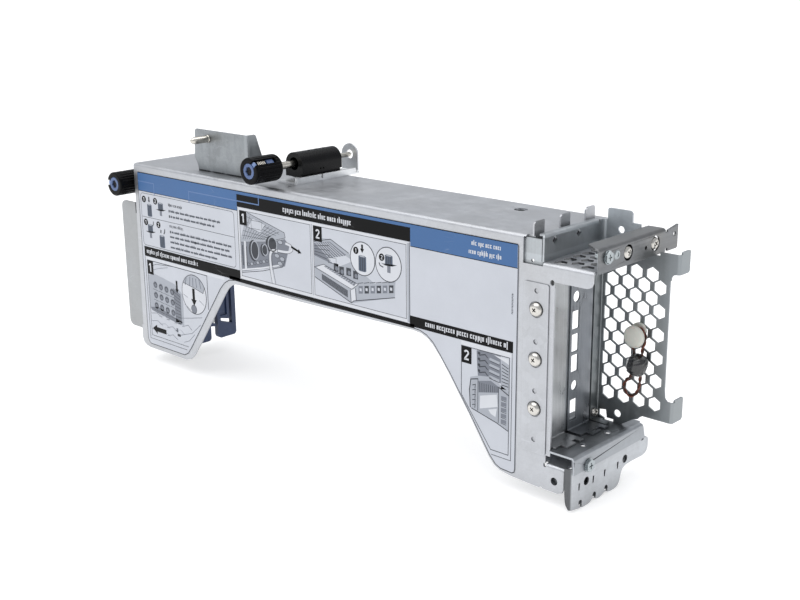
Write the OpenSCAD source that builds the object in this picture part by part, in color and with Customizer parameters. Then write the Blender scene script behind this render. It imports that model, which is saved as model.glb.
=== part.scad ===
// Riser cage bracket: a folded steel cage with a label face, a card-slot end
// frame, two captive thumbscrews and a perforated side panel.
// Millimetres. +X runs along the cage to its slot end, +Y is depth, +Z is up.
// The origin is the middle of the bounding box at its lowest level.

/* [Cage shell] */
// Distance from the label panel's right reference line to its left edge
cage_left = 296.5; // [290:0.5:300]
// Depth of the cage from the front face to the rear edge
cage_depth = 56.2; // [54:0.2:58]
// Thickness of the folded steel sheet
sheet_t = 1.0; // [0.8:0.1:1.1]
// Height of the top panel above the reference line
top_z = 2.5; // [2:0.1:3]
// Depth of the rear return flange
rear_lip = 21.7; // [5:0.1:24]
// Thickness of the printed label
label_t = 0.2; // [0.15:0.05:0.3]

/* [Slot end] */
// Centre distance of the card slots
slot_pitch = 20.32; // [20.32:0.01:20.33]
// Width of a slot cover
cover_w = 17.6; // [17:0.1:18.5]
// Thickness of a slot cover
cover_t = 0.8; // [0.6:0.1:0.9]
// Level of the floor that the slot covers stand on
floor_z = -95.5; // [-96:0.1:-95]
// Level of the perforated shelf's upper face
shelf_z = -8.6; // [-8.8:0.1:-8.2]
// Height of the retention rail's face
rail_h = 11.2; // [10.8:0.1:11.4]

/* [Hexagon vents] */
// Width across the flats of a vent hexagon
hex_af = 6.25; // [5.6:0.05:6.5]
// Centre distance along a row of hexagons
hex_pitch = 8.45; // [8.2:0.05:8.6]
// Distance between rows of hexagons
hex_row = 5.64; // [5.5:0.02:5.8]

/* [Thumbscrews] */
// Diameter of a thumbscrew's black barrel
knob_d = 14.6; // [13.5:0.1:14.8]
// Length of a thumbscrew's black barrel
knob_len = 19; // [15:0.5:19.5]
// Diameter of the steel shank behind the barrel
shank_d = 4.2; // [4:0.1:5]
// Diameter of the thin drive rod
rod_d = 2.8; // [2.4:0.1:3]

/* [Top hardware] */
// Height of the guide tab above the top panel
guide_h = 24.3; // [22:0.1:26]
// Diameter of the guide pin
pin_d = 4.2; // [3:0.1:4.4]
// Length of the black guide sleeve
sleeve_len = 30; // [28:0.5:31]

/* [Hidden] */
$fn = 48;
org = [130.75, -26.825, 122.6];
t = sheet_t;
ri = 0.8;            // inside radius of a sheet bend
ro = ri + t;         // outside radius of a sheet bend
x_l = -cage_left;
win_x = 10.5;        // outer face of the slot window plate
side_y = 46.7;       // inner face of the perforated side panel
knob_a = [-305.9, -8.5, -10.5];
knob_b = [-174.2, -11.55, 12.6];
gap = 0.05;
rail_c = -3.5;       // level of the retention screws

module put() translate(org) children();
// plate in the XZ plane, occupying y0 to y0+th
module xz(y0, th) translate([0, y0 + th, 0]) rotate([90, 0, 0]) linear_extrude(height = th) children();
// plate in the YZ plane, occupying x0 to x0+th
module yz(x0, th) translate([x0, 0, 0]) rotate([90, 0, 90]) linear_extrude(height = th) children();
// plate in the XY plane, occupying z0 to z0+th
module xy(z0, th) translate([0, 0, z0]) linear_extrude(height = th) children();
// rectangle with its four corner radii: bottom left, bottom right, top right, top left
module rrect(x0, z0, x1, z1, r = [1, 1, 1, 1]) {
  difference() {
    translate([x0, z0]) square([x1 - x0, z1 - z0]);
    corner(x0, z0, 1, 1, r[0]);
    corner(x1, z0, -1, 1, r[1]);
    corner(x1, z1, -1, -1, r[2]);
    corner(x0, z1, 1, -1, r[3]);
  }
}
// the sliver outside a round of radius r at the corner (x, z)
module corner(x, z, sx, sz, r) {
  if (r > 0) difference() {
    translate([x, z]) polygon([[-sx * 0.5, -sz * 0.5], [sx * r, -sz * 0.5], [sx * r, sz * r], [-sx * 0.5, sz * r]]);
    translate([x + sx * r, z + sz * r]) circle(r = r);
  }
}
// quarter ring bend section, centred on (cx, cy), filling quadrant (sx, sy)
module bend(cx, cy, sx, sy, r1 = ri, r2 = ro) {
  translate([cx, cy]) intersection() {
    difference() { circle(r = r2); circle(r = r1); }
    polygon([[0, 0], [sx * r2 * 1.5, 0], [sx * r2 * 1.5, sy * r2 * 1.5], [0, sy * r2 * 1.5]]);
  }
}
module cyl_y(x, y0, z, r, len) translate([x, y0, z]) rotate([-90, 0, 0]) cylinder(r = r, h = len);
module cyl_x(x0, y, z, r, len) translate([x0, y, z]) rotate([0, 90, 0]) cylinder(r = r, h = len);
module cyl_z(x, y, z0, r, len) translate([x, y, z0]) cylinder(r = r, h = len);
// pointy-top hexagon of width af across its flats
module hexa(af) rotate(30) circle(r = af / sqrt(3), $fn = 6);

// ---------------------------------------------------------------- cage shell
// outline of the front panel, corner rounds are short chords of the folded sheet
module front_outline() {
  polygon([[x_l, top_z - ro], [x_l, -20], [x_l - 1.5, -98], [x_l - 1.5, -100.5],
    [x_l - 2.6, -100.5], [x_l - 2.9, -109], [x_l - 1.6, -112], [x_l + 1.2, -113.6],
    [x_l + 5.2, -114.2], [-255, -114.2], [-250.2, -112.8], [-246.4, -109.6], [-239.6, -100.6],
    [-219.2, -72.2], [-214, -64.8], [-210.8, -61], [-207.6, -58.6], [-203.8, -57.5], [-199, -57.3],
    [-150, -57.3], [-100, -56.6], [-67, -56], [-61.6, -56.6], [-57.6, -58.2], [-54.2, -60.8],
    [-49.2, -66.2], [-43.2, -74], [-30.6, -91.5], [-18.6, -109.2], [-15.4, -112.6],
    [-11.8, -114.4], [-5.6, -115.4], [10, -116.1], [21.8, -116.2], [24.1, -115.4],
    [25, -113.2], [25, -105], [13.7, -105], [13.5, -103.4], [14.6, -103], [14.6, -99.2],
    [17.1, -99.2], [17.1, -16.4], [34.2, -16.4], [36.2, -15.6], [37.1, -13.6], [37.1, shelf_z - ro],
    [0.8, shelf_z - ro], [0.8, top_z - ro]]);
}
module cage_shell() {
  color([0.75, 0.76, 0.78]) put() difference() {
    union() {
      // front panel with its two legs, screw strip area and end lip
      xz(0, t) front_outline();
      // top panel, front bend, rear bend and rear return flange
      difference() {
        translate([x_l, 0, 0]) yz(0, cage_left + 8.6) {
          bend(ro, top_z - ro, -1, 1);
          translate([ro, top_z - t]) square([cage_depth - 2 * ro, t]);
          bend(cage_depth - ro, top_z - ro, 1, 1);
          translate([cage_depth - t, top_z - ro - rear_lip]) square([t, rear_lip]);
        }
        // the front bend stops at the corner relief; the top panel runs on
        translate([0.8, -1, top_z - ro - 1]) cube([12, 3.2, 5]);
        // the rear flange stops short of the end frame
        translate([-4, cage_depth - ro - 0.2, top_z - ro - rear_lip - 1]) cube([16, 4, rear_lip + 4]);
        // the top panel's end corner is clipped clear of the end frame
        translate([8.6, 45.6, top_z - 3]) cube([4, 12, 4]);
      }
      // shelf bent in from the end lip
      translate([win_x + gap, 0, 0]) yz(0, 38.9 - win_x - gap) {
        bend(ro, shelf_z - ro, -1, 1);
        translate([ro, shelf_z - t]) square([side_y - 0.1 - ro, t]);
      }
      // ledge turned in from the lower tab, with its upturned end
      translate([14.9, 0, 0]) yz(0, 10) bend(ro, -103.2 - ro, -1, 1);
      xy(-104.2, t) polygon([[14.9, ro], [24.9, ro], [24.9, 14.5], [3, 14.5], [3, 4], [14.9, 4]]);
      translate([3, 13.5, -104.2]) cube([21.9, t, 7]);
      // three stop tabs raised from the top panel beside their slots
      for (y = [-0.2, 19.6, 39.6]) translate([0, y + 1, 0]) yz(3.9, 0.8) difference() {
        rrect(0.4, top_z - 0.2, 8, top_z + 6.4, [0, 0, 1, 0]);
        translate([0.4, top_z + 6.4]) rotate(-58) translate([-4, -1.1]) square([5, 2.2]);
      }
    }
    // round relief at the opening's upper corner
    cyl_y(15.9, -1, -16.9, 1.3, 4);
    // the shelf's bend is clipped at its end
    translate([37.1, -1, shelf_z - ro - 0.5]) cube([3, 3, 4]);
    // large round hole and two small ones in the top panel
    cyl_z(-33.9, 42.3, top_z - 3, 3.4, 5);
    cyl_z(-166, 9.5, top_z - 3, 0.9, 5);
    // openings the stop tabs are cut from
    for (y = [1.4, 21.2, 41.2]) xy(top_z - 2, 4) translate([4.7, y]) square([5, min(7.4, 45.2 - y)]);
    // round hole for the indicator light, and the lower tab's hole
    cyl_y(-8.3, -1, -5.6, 1.6, 4);
    cyl_y(19.7, -1, -110.7, 1.9, 4);
    // half-round notch at the foot of the panel
    cyl_y(12.2, -1, -116.4, 0.9, 4);
    // holes behind the strip screws
    for (z = [-30.6, -54.2, -77.9]) cyl_y(7.85, -1, z, 1.6, 4);
    // relief where the front lip turns in
    xz(-1, 4) translate([-0.3, -10.4]) square([1.1, 12.1]);
    // shelf vents in staggered columns
    for (c = [0:2]) for (k = [0:4]) xy(shelf_z - 3, 4)
      translate([16.4 + 7.1 * c, 5.4 + 7.15 * k + (c == 1 ? 2.9 : 0)]) circle(r = 5.6 / sqrt(3), $fn = 6);
  }
}

// printed label, a thin skin on the front panel
module instruction_label() {
  color([0.82, 0.83, 0.86]) put() difference() {
    xz(-label_t, label_t) polygon([[x_l + 3.9, -2.2], [x_l + 3.6, -3], [x_l + 3.2, -108.6], [x_l + 4.6, -110.8],
      [x_l + 6.4, -111.6], [-256, -111.6], [-252.2, -109.6], [-248.4, -105], [-217.4, -62.2], [-213.6, -58.4],
      [-209.4, -56], [-204, -55.2], [-150, -55.6], [-100, -55.2], [-68, -54.9], [-62.4, -55.3], [-58, -56.8],
      [-54, -59.6], [-49.2, -65.2], [-43, -73], [-30.4, -90.4], [-18.2, -108.2], [-14.4, -112.2],
      [-11.2, -113.5], [-4.4, -113.9], [-3, -113.1], [-2.6, -111.4], [-2.6, -3], [-3.4, -2.2]]);
    cyl_y(-8.3, -1, -5.6, 1.6, 4);
  }
}

// ------------------------------------------------------ left end bracket
// end wall, outward ear, lug for the left thumbscrew and shelf for the clips
module left_end_bracket() {
  color([0.7, 0.71, 0.72]) put() difference() {
    union() {
      yz(x_l, t) rrect(t + 0.05 + ro, -112, cage_depth - t - 0.1, top_z - t - 0.1, [0, 3, 3, 0]);
      // ear turned outward from the wall's front edge
      intersection() {
        translate([0, 0, -112]) linear_extrude(height = 113.3) {
          translate([x_l - ri, t + 0.05 + ro]) intersection() {
            difference() { circle(r = ro); circle(r = ri); }
            translate([0, -ro * 1.5]) square(ro * 1.5);
          }
          translate([x_l - 17, t + 0.05]) square([17 - ri, t]);
        }
        xz(-1, 10) union() {
          rrect(x_l - 17, -103.5, x_l + 2, -22.4, [4, 0, 0, 4]);
          translate([x_l - ri - 0.1, -112]) square([3, 113.4]);
        }
      }
      // lug turned outward behind the thumbscrew
      xz(20, t) rrect(x_l - 17, knob_a[2] - 8.5, x_l + 0.2, knob_a[2] + 8.5, [6, 0, 0, 6]);
      // inward shelf that carries the two clips
      translate([x_l + 0.5, 12, -52]) cube([38, 41, t]);
    }
    // relief notches between ear and front panel
    translate([x_l - 2.6, -1, -29]) cube([1.7, 4.5, 7]);
    translate([x_l - 2.6, -1, -104]) cube([2.0, 4.5, 4.2]);
    cyl_y(knob_a[0], 18, knob_a[2], shank_d / 2 + 0.15, 5);
    // sockets for the clips' heads
    translate([-272.2, 16.9, -53]) cube([4.4, 12, 3]);
    translate([-272.2, 37.1, -53]) cube([4.4, 12, 3]);
  }
}

// ------------------------------------------------------------ window frame
module window_frame() {
  color([0.52, 0.55, 0.58]) put() difference() {
    union() {
      // window plate with the front flange and its bend, all one section
      translate([0, 0, floor_z]) linear_extrude(height = shelf_z - floor_z + 0.02) {
        translate([win_x - t, t + gap + ro]) square([t, side_y + 0.8 - t - gap - ro]);
        translate([win_x - ro, t + gap + ro]) intersection() {
          difference() { circle(r = ro); circle(r = ri); }
          translate([0, -ro * 1.5]) square(ro * 1.5);
        }
        translate([-4, t + gap]) square([win_x - ro + 4, t]);
      }
      // above the shelf the plate runs to the front, parted from the flange
      translate([win_x - t, 40, shelf_z]) cube([t, side_y - 1.4 - 40, 1.7 - shelf_z]);
      translate([-4, t + gap, shelf_z - 1]) cube([13.1, t, 4.2 - shelf_z]);
      // its upper edge is folded over the top panel as a lip
      translate([0, 43.8, 0]) rotate([90, 0, 0]) linear_extrude(height = 43.8 - t - gap) {
        translate([win_x - t, shelf_z]) square([t, 3.6 - ro - shelf_z]);
        bend(win_x - ro, 3.6 - ro, 1, 1);
        translate([7, 3.6 - t]) square([win_x - ro - 7, t]);
      }
      // rear wall above the shelf, turned from the window plate, with its high tab
      translate([0, 0, shelf_z + 0.05]) linear_extrude(height = 3.4 - shelf_z - 0.05) {
        translate([win_x + 2, side_y - 1.2]) intersection() {
          difference() { circle(r = 2 + t); circle(r = 2); }
          translate([-4.5, 0]) square(4.5);
        }
        translate([win_x + 2, side_y + 0.8]) square([25.7, t]);
        translate([win_x - t, side_y - 1.9]) square([t, 0.7]);
      }
      xz(side_y + 0.8, t) rrect(12.6, 3, 25.9, 8.9, [0, 0, 2, 1]);
      // rear return below the shelf
      translate([-0.5, side_y + 0.6, -88]) cube([win_x + 0.5, t + 0.2, 79]);
    }
    // the front flange only rises to the top panel, and stays below the front bend
    translate([-13, 0, top_z - t - 0.1]) cube([22.3, 2.1, 4]);
    translate([-13, 0, top_z - ro - 0.1]) cube([13.6, 4, 6]);
    // rounded corner of the plate's top front
    yz(6, 6) corner(t + gap, 3.6, 1, -1, 2.2);
    // two card windows behind the covers
    for (i = [0:1]) yz(8, 4) rrect(2.6 + i * slot_pitch, -90, 16.6 + i * slot_pitch, -16, [1, 1, 1, 1]);
    // two diamond holes above the shelf
    for (y = [8.9, 27.4]) translate([8, y, 0.1]) rotate([45, 0, 0]) translate([0, -1.35, -1.35]) cube([4, 2.7, 2.7]);
    // the wall's end is low, under the retention rail
    translate([30.2, 46, 0.9]) cube([10, 4, 4]);
    translate([37.2, 46, -9.6]) cube([3, 4, 12]);
    // hole for the side panel's screw
    cyl_x(8, 43.4, -91.6, 1.35, 4);
    // hole in the rear wall
    cyl_y(20.1, 44, -0.6, 1.7, 6);
    // tapped holes for the strip screws
    for (z = [-30.6, -54.2, -77.9]) cyl_y(7.85, 0, z, 1.45, 4);
    // small round hole beside the corner
    cyl_y(4.2, 0, -8.8, 0.8, 4);
  }
}

// doubler strip under the three front screws
module front_strip() {
  color([0.74, 0.75, 0.77]) put() difference() {
    xz(-0.5, 0.45) rrect(0.8, -99.4, 14.5, -18.2, [1.2, 1.2, 1.2, 1.2]);
    for (z = [-30.6, -54.2, -77.9]) cyl_y(7.85, -2, z, 3.85, 4);
    for (z = [-21.9, -45.8, -69.3, -92.9]) cyl_y(7.9, -2, z, 1.25, 4);
  }
}
module pan_head(rh, hh, rs, len) {
  rotate_extrude() polygon(concat([[0, 0]], [for (a = [0:15:90]) [rh * (0.55 + 0.45 * sin(a)), hh * cos(a) + 0]], [[rs, 0], [rs, -len], [0, -len]]));
}
module cross_recess(r, d) {
  for (a = [0, 90]) rotate(a) translate([-r, -r * 0.22, -d]) cube([2 * r, r * 0.44, d + 2]);
}
module strip_screws() {
  color([0.85, 0.84, 0.8]) put() for (z = [-30.6, -54.2, -77.9]) translate([7.85, -0.05, z]) rotate([90, 0, 0]) difference() {
    pan_head(3.4, 2.2, 1.4, 4.5);
    translate([0, 0, 2.3]) cross_recess(1.6, 1.3);
  }
}

// ------------------------------------------------------------- slot covers
// a cover seen square on: y is its near edge
module cover_blank(y) {
  xf = win_x + gap;
  difference() {
    union() {
      // plate and outward foot, one bent section
      translate([0, y + cover_w, 0]) rotate([90, 0, 0]) linear_extrude(height = cover_w) {
        translate([xf, floor_z + 0.1 + 1.4]) square([cover_t, shelf_z - t - 0.2 - floor_z - 1.5]);
        translate([xf + 1.4, floor_z + 0.1 + 1.4]) intersection() {
          difference() { circle(r = 1.4); circle(r = 1.4 - cover_t); }
          translate([-3, -3]) square(3);
        }
        translate([xf + 1.4, floor_z + 0.1]) square([10.6, cover_t]);
      }
    }
    // the foot is cut back beside its screw slot
    translate([xf + 8.4, y - 1, floor_z - 1]) cube([6, 5.2, 3]);
    translate([xf + 9.2, y + 11.3, floor_z - 1]) cube([6, 3.0, 3]);
    // top corners taper to a tongue
    yz(xf - 1, 3) polygon([[y - 1, -14], [y + 3.6, -10.4], [y + 3.6, 0], [y - 1, 0]]);
    yz(xf - 1, 3) polygon([[y + cover_w + 1, -14], [y + cover_w - 3.6, -10.4], [y + cover_w - 3.6, 0], [y + cover_w + 1, 0]]);
  }
}
module slot_cover_plain() {
  color([0.6, 0.62, 0.64]) put() cover_blank(1.5);
}
module slot_cover_vented() {
  y = 1.5 + slot_pitch;
  color([0.58, 0.6, 0.63]) put() difference() {
    cover_blank(y);
    yz(win_x - 1, 3) {
      rrect(23.2, -45.2, 28.6, -36.4, [0.5, 0.5, 0.5, 0.5]);
      rrect(23.2, -56.2, 28.6, -47.6, [0.5, 0.5, 0.5, 0.5]);
      rrect(23.2, -66.2, 28.6, -57.8, [0.5, 0.5, 0.5, 0.5]);
      rrect(23.2, -90.6, 28.6, -79.8, [0.5, 0.5, 0.5, 0.5]);
      translate([26.2, -29.6]) circle(r = 2.6);
      translate([26.2, -73]) circle(r = 2.4);
      translate([26.2, -21.6]) circle(r = 1.3);
    }
  }
}

// ------------------------------------------------------- perforated side panel
module hex_side_panel() {
  th = 0.8;
  color([0.42, 0.46, 0.49]) put() difference() {
    union() {
      // mounting flange, bend and panel as one bent section
      translate([0, 0, floor_z + 0.1]) linear_extrude(height = -9.4 - floor_z - 0.1) {
        translate([win_x + gap, 40.6]) square([th, side_y - 0.6 - 40.6]);
        translate([win_x + gap + 1.4, side_y - 0.6]) intersection() {
          difference() { circle(r = 1.4); circle(r = 1.4 - th); }
          translate([-3, 0]) square(3);
        }
        translate([win_x + gap + 1.4, side_y]) square([35.4, th]);
      }
      xz(side_y, th) polygon([[41.6, -10], [41.6, -7.6], [50.6, -7.6], [50.6, -16.9], [48.9, -17.2], [47.9, -18.6],
        [47.9, -20], [47.3, -20], [44, -15]]);
      xz(side_y, th) polygon([[46, -72], [47.3, -72], [47.6, -76.4], [48.8, -77.8], [50.6, -78], [50.6, -88.2], [46, -88.2]]);
      // hooked arm ends, turned to the rear
      for (z = [[-16.9, -7.6], [-88.2, -78]]) {
        translate([0, 0, z[0]]) linear_extrude(height = z[1] - z[0]) {
          translate([50.6, side_y + 1.4]) intersection() {
            difference() { circle(r = 1.4); circle(r = 1.4 - th); }
            translate([0, -3]) square(3);
          }
          translate([52 - th, side_y + 1.4]) square([th, 1]);
        }
      }
      yz(52 - th, th) rrect(side_y + 2.0, -16.9, side_y + 8.9, -6.4, [0, 1.4, 1, 0.6]);
      yz(52 - th, th) rrect(side_y + 2.0, -88.2, side_y + 9.4, -77, [0, 1.4, 1, 0.6]);
      // foot under the mounting flange
      translate([win_x + gap + 0.4, 40.6, floor_z + 0.1]) cube([9.2, side_y - 41.4, th]);
    }
    // lower right of the panel is cut away beside the hooked arm
    xz(44, 6) polygon([[36.4, -88.2], [60, -88.2], [60, -100], [24.6, -100], [24.9, -95.3], [31.6, -91], [33.8, -90.4], [34.8, -89.2]]);
    // stepped opening beside the flange, and the round hole
    xz(44, 6) polygon([[12.4, -90.6], [16.2, -90], [16.8, -94], [20.5, -94], [20.5, -97], [15.6, -97], [15.2, -94.6], [12.4, -93.6]]);
    cyl_y(22.6, 44, -90.4, 1.9, 6);
    // staggered rows of hexagons, the first column of every other row is halved
    for (k = [0:11]) xz(44, 6) intersection() {
      for (i = [0:3]) if (!(k == 0 && i == 0) && !(k % 2 == 1 && i == 4))
        translate([(k % 2 == 0 ? 12.75 : 17.0) + hex_pitch * i, -18.7 - hex_row * k]) hexa(hex_af);
      translate([12.95, -100]) square([60, 100]);
    }
    // screw hole in the mounting flange
    cyl_x(9, 43.4, -91.6, 1.45, 5);
  }
}
module hex_head(af, hh, rs, len) {
  cylinder(r = af / sqrt(3), h = hh * 0.8, $fn = 6);
  cylinder(r = af * 0.62, h = 0.5);
  translate([0, 0, -len]) cylinder(r = rs, h = len + 0.1);
}
module side_panel_screw() {
  color([0.8, 0.79, 0.75]) put() translate([win_x + gap + 0.85, 43.4, -91.6]) rotate([0, 90, 0]) difference() {
    pan_head(2.3, 1.5, 1.3, 1.9);
    translate([0, 0, 1.6]) cross_recess(1.2, 1.1);
  }
}

// ---------------------------------------------------------- retention rail
module retention_rail() {
  xr = 40;
  zb = -9.15;
  color([0.6, 0.61, 0.63]) put() difference() {
    union() {
      translate([0, 53.6, 0]) rotate([90, 0, 0]) linear_extrude(height = 53.7) {
        translate([xr - t, zb]) square([t, rail_h - ro]);
        bend(xr - ro, zb + rail_h - ro, 1, 1);
        translate([xr - 9.4, zb + rail_h - t]) square([9.4 - ro, t]);
      }
      // neck and flared end tab
      yz(xr - t, t) rrect(53.2, zb + 1.6, 56.6, zb + rail_h - 2, [0, 0, 0, 0]);
      yz(xr - t, t) polygon([[55.4, zb + 0.2], [63.6, zb + 0.2], [64.4, zb + 1], [64.4, zb + rail_h + 0.3], [55.4, zb + rail_h - 1.2]]);
    }
    // the flange's near corner is clipped
    xy(zb + rail_h - t - 0.5, 3) polygon([[29, -1], [38.1, -1], [37.6, -0.1], [30.2, 5.4], [29, 5.4]]);
    for (y = [22.5, 44.8]) cyl_x(xr - 3, y, rail_c, 3.6, 5);
    cyl_x(xr - 3, 6.0, rail_c + 1, 1.9, 5);
    cyl_x(xr - 3, 36.9, rail_c - 0.6, 0.9, 5);
    cyl_x(xr - 3, 61.4, rail_c + 1.7, 1.1, 5);
    cyl_x(xr - 3, 13.3, rail_c + 0.8, 1.05, 5);
  }
}
// tapped bar inside the rail, it carries the retention screws
module rail_nut_bar() {
  color([0.5, 0.52, 0.54]) put() difference() {
    translate([36.6, 3.4, shelf_z + 0.05]) cube([1.6, 43, 8.6]);
    for (y = [22.5, 44.8]) cyl_x(35, y, rail_c, 1.55, 5);
    cyl_x(35, 6.0, rail_c + 1, 1.55, 5);
    cyl_x(35, 13.3, rail_c + 0.8, 1.05, 5);
  }
}
module rail_screws() {
  color([0.86, 0.83, 0.78]) put() for (y = [22.5, 44.8]) translate([38.25, y, rail_c]) rotate([0, 90, 0]) difference() {
    pan_head(3.1, 2.3, 1.5, 4.6);
    translate([0, 0, 2.4]) cross_recess(1.7, 1.5);
  }
}
module rail_rivet() {
  color([0.62, 0.64, 0.66]) put() translate([0, 13.3, rail_c + 0.8]) {
    translate([36.4, 0, 0]) rotate([0, 90, 0]) cylinder(r = 1.0, h = 3.7);
    translate([40.02, 0, 0]) rotate([0, 90, 0]) difference() {
      cylinder(r1 = 2.2, r2 = 1.8, h = 0.4);
      translate([0, 0, 0.15]) cylinder(r = 1.1, h = 1);
    }
  }
}
module rail_end_screw() {
  color([0.72, 0.76, 0.78]) put() translate([40.05, 6.0, rail_c + 1]) rotate([0, 90, 0]) difference() {
    hex_head(5.0, 1.7, 1.5, 5.4);
    translate([0, 0, 1.5]) cross_recess(1.4, 0.6);
  }
}

// -------------------------------------------------------------- hook channel
module hook_channel() {
  xo = 31.8;
  fz = floor_z;
  color([0.66, 0.68, 0.7]) put() difference() {
    union() {
      // floor
      xy(fz - t, t) polygon([[-2, 2.1], [17.6, 2.1], [17.6, -1.8], [xo - ro + 0.02, -1.8], [xo - ro + 0.02, 56.6], [-2, 56.6]]);
      // bend and front face as one bent section
      translate([0, 57.8, 0]) rotate([90, 0, 0]) linear_extrude(height = 59.6) {
        bend(xo - ro, fz - ro, 1, 1);
        translate([xo - t, -103.8]) square([t, 103.8 + fz - ro]);
      }
      // ear of the face around its screw
      yz(xo - t, t) translate([9.5, -102.1]) circle(r = 3.2);
      // inner web behind the hook plate, and the plate behind the lower tab
      yz(27.6, t) polygon([[2.1, fz - 0.5], [56, fz - 0.5], [56, -104], [61, -105.5], [62, -108], [61.5, -111.5], [59, -113], [45, -113.4],
        [42, -114.6], [40.6, -119], [38, -121.6], [35, -122.4], [31, -122.4], [28.5, -121.7], [26.5, -121.7], [23, -122.4],
        [20, -122.4], [18, -121.5], [15.5, -122.4], [5, -122.2], [2.1, -121]]);
      xz(2.1, t) polygon([[14.5, -114], [28.6, -114], [28.6, -105], [14.5, -105]]);
    }
    // the floor ends behind the front panel and at the side panel
    translate([-3, 46.5, fz - 3]) cube([13.4, 12, 4]);
    translate([10.3, 47.6, fz - 3]) cube([14.1, 12, 4]);
    // bracket screw holes, at the slot pitch
    for (i = [0:1]) cyl_z(25.4, 14.3 + i * slot_pitch, fz - 3, 1.5, 5);
    // the face's far end leans outward to its foot
    yz(29.5, 4) polygon([[54.6, fz + 1], [55.2, fz - 0.2], [55.9, fz - 1.2], [57.8, -103.9], [60, -103.9], [60, fz + 1]]);
    cyl_x(26, 9.5, -102.1, 1.6, 8);
  }
}
// lobed hook plate behind the channel's face, with its near flange
module hook_plate() {
  xo = 31.8 - t - gap;
  color([0.66, 0.68, 0.69]) put() difference() {
    union() {
      yz(xo - t, t) polygon([[ro - 2, -98.4], [55.9, -98.4], [55.9, -105.4], [58.2, -105.4], [58.8, -104.6], [61.2, -104.6], [62.3, -105.3],
        [62.7, -106.7], [62.5, -110.2], [61.7, -111.9], [60, -112.9], [57.4, -113.4], [48.4, -113.1], [43, -113.3], [40.6, -114.2],
        [39.3, -115.8], [38.7, -118], [38, -120], [36.8, -121.5], [35.2, -122.3], [33.2, -122.6], [30.6, -122.6], [28.6, -122.3],
        [26.9, -121.6], [25.6, -121.3], [24.5, -121.5], [22.8, -122.3], [20.8, -122.6], [18.9, -122.4], [17.1, -121.5], [16, -121.1],
        [15, -121.3], [13.5, -122.2], [11.6, -122.6], [7.6, -122.6], [4, -122.1], [ro - 2, -121.4]]);
      // near flange, turned in at the front edge
      translate([0, 0, -121.4]) linear_extrude(height = 20.1) {
        translate([xo - ro, ro - 2]) intersection() {
          difference() { circle(r = ro); circle(r = ri); }
          translate([0, -ro * 1.5]) square(ro * 1.5);
        }
      }
      xz(-2, t) polygon([[26.5, -102.3], [27.2, -101.4], [xo - ro + 0.05, -101.3], [xo - ro + 0.05, -121.4], [28.8, -120.9], [27.8, -119.6],
        [27.3, -118], [26.9, -114]]);
    }
    // upper part clears the channel's bend
    translate([xo - t - 1, -4, floor_z - ro - 0.05]) cube([4, 74, 4]);
    // hook notches that open between the lobes
    for (p = [[5.4, -119.7], [16.8, -119.6], [26.6, -119.6]]) yz(28, 5) {
      translate(p) circle(r = 1.45);
      polygon([[p[0] - 0.3, p[1] - 1], [p[0] + 1.3, p[1] - 0.6], [p[0] + 1.4, p[1] - 4], [p[0] + 0.6, p[1] - 4]]);
    }
    // round holes and lanced marks
    for (p = [[9.9, -110.35], [42.1, -110.0]]) yz(28, 5) translate(p) circle(r = 2.05);
    for (p = [[4.2, -111.4], [15.6, -111.5], [25, -111.5], [36, -111.3]]) yz(28, 5)
      polygon([[p[0] - 0.5, p[1] + 1.7], [p[0] + 0.7, p[1] + 1.7], [p[0] + 0.5, p[1]], [p[0] + 0.2, p[1] - 1.8], [p[0] - 0.5, p[1] - 1.8], [p[0] - 0.7, p[1]]]);
    cyl_x(26, 9.5, -102.1, 1.45, 8);
  }
}
module hook_screw() {
  color([0.76, 0.79, 0.78]) put() translate([31.85, 9.5, -102.1]) rotate([0, 90, 0]) difference() {
    hex_head(5.4, 1.9, 1.4, 5.6);
    translate([0, 0, 1.6]) cross_recess(1.5, 0.6);
  }
}

// ---------------------------------------------------------------- guide tab
module guide_tab() {
  z0 = top_z + 0.02;
  color([0.62, 0.64, 0.65]) put() difference() {
    union() {
      // upright plate and side flange, one bent section
      intersection() {
        translate([0, 0, z0]) linear_extrude(height = guide_h) {
          translate([-248.6, 10]) square([48.4 - ro, t]);
          translate([-200.2 - ro, 10 + ro]) intersection() {
            difference() { circle(r = ro); circle(r = ri); }
            translate([0, -ro * 1.5]) square(ro * 1.5);
          }
          translate([-200.2 - t, 10 + ro]) square([t, 12 - ro]);
        }
        union() {
          xz(9, 2.2) polygon([[-248, z0 + 10], [-247, z0 + guide_h - 1], [-245.9, z0 + guide_h], [-190, z0 + guide_h - 0.1],
            [-190, z0 + 11], [-206, z0 - 1], [-244.6, z0 - 1], [-245.6, z0 + 3], [-248.4, z0 + 8]]);
          yz(-204, 6) polygon([[11.1, z0 + 8], [11.1, z0 + guide_h], [15.7, z0 + guide_h], [16.6, z0 + guide_h - 0.8], [20.8, z0 + 11], [20.8, z0 + 7]]);
        }
      }
      // foot on the top panel
      translate([-244.4, 10.1, z0]) cube([36.6, 10, t]);
    }
    cyl_y(-234.8, 5, 21.9, pin_d / 2 - 0.5, 10);
  }
}
module guide_pin() {
  color([0.78, 0.77, 0.75]) put() translate([-234.8, 9.95, 21.9]) rotate([90, 0, 0]) rotate_extrude() polygon([[0, -2.8],
    [pin_d / 2 - 0.55, -2.8], [pin_d / 2 - 0.55, 0], [pin_d / 2 + 0.25, 0], [pin_d / 2 + 0.25, 0.8], [pin_d / 2, 1.2], [pin_d / 2, 9.4],
    [pin_d / 2 - 0.2, 10.5], [pin_d / 2 - 0.7, 11.5], [0.9, 12.2], [0.4, 12.38], [0, 12.4]]);
}

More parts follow.
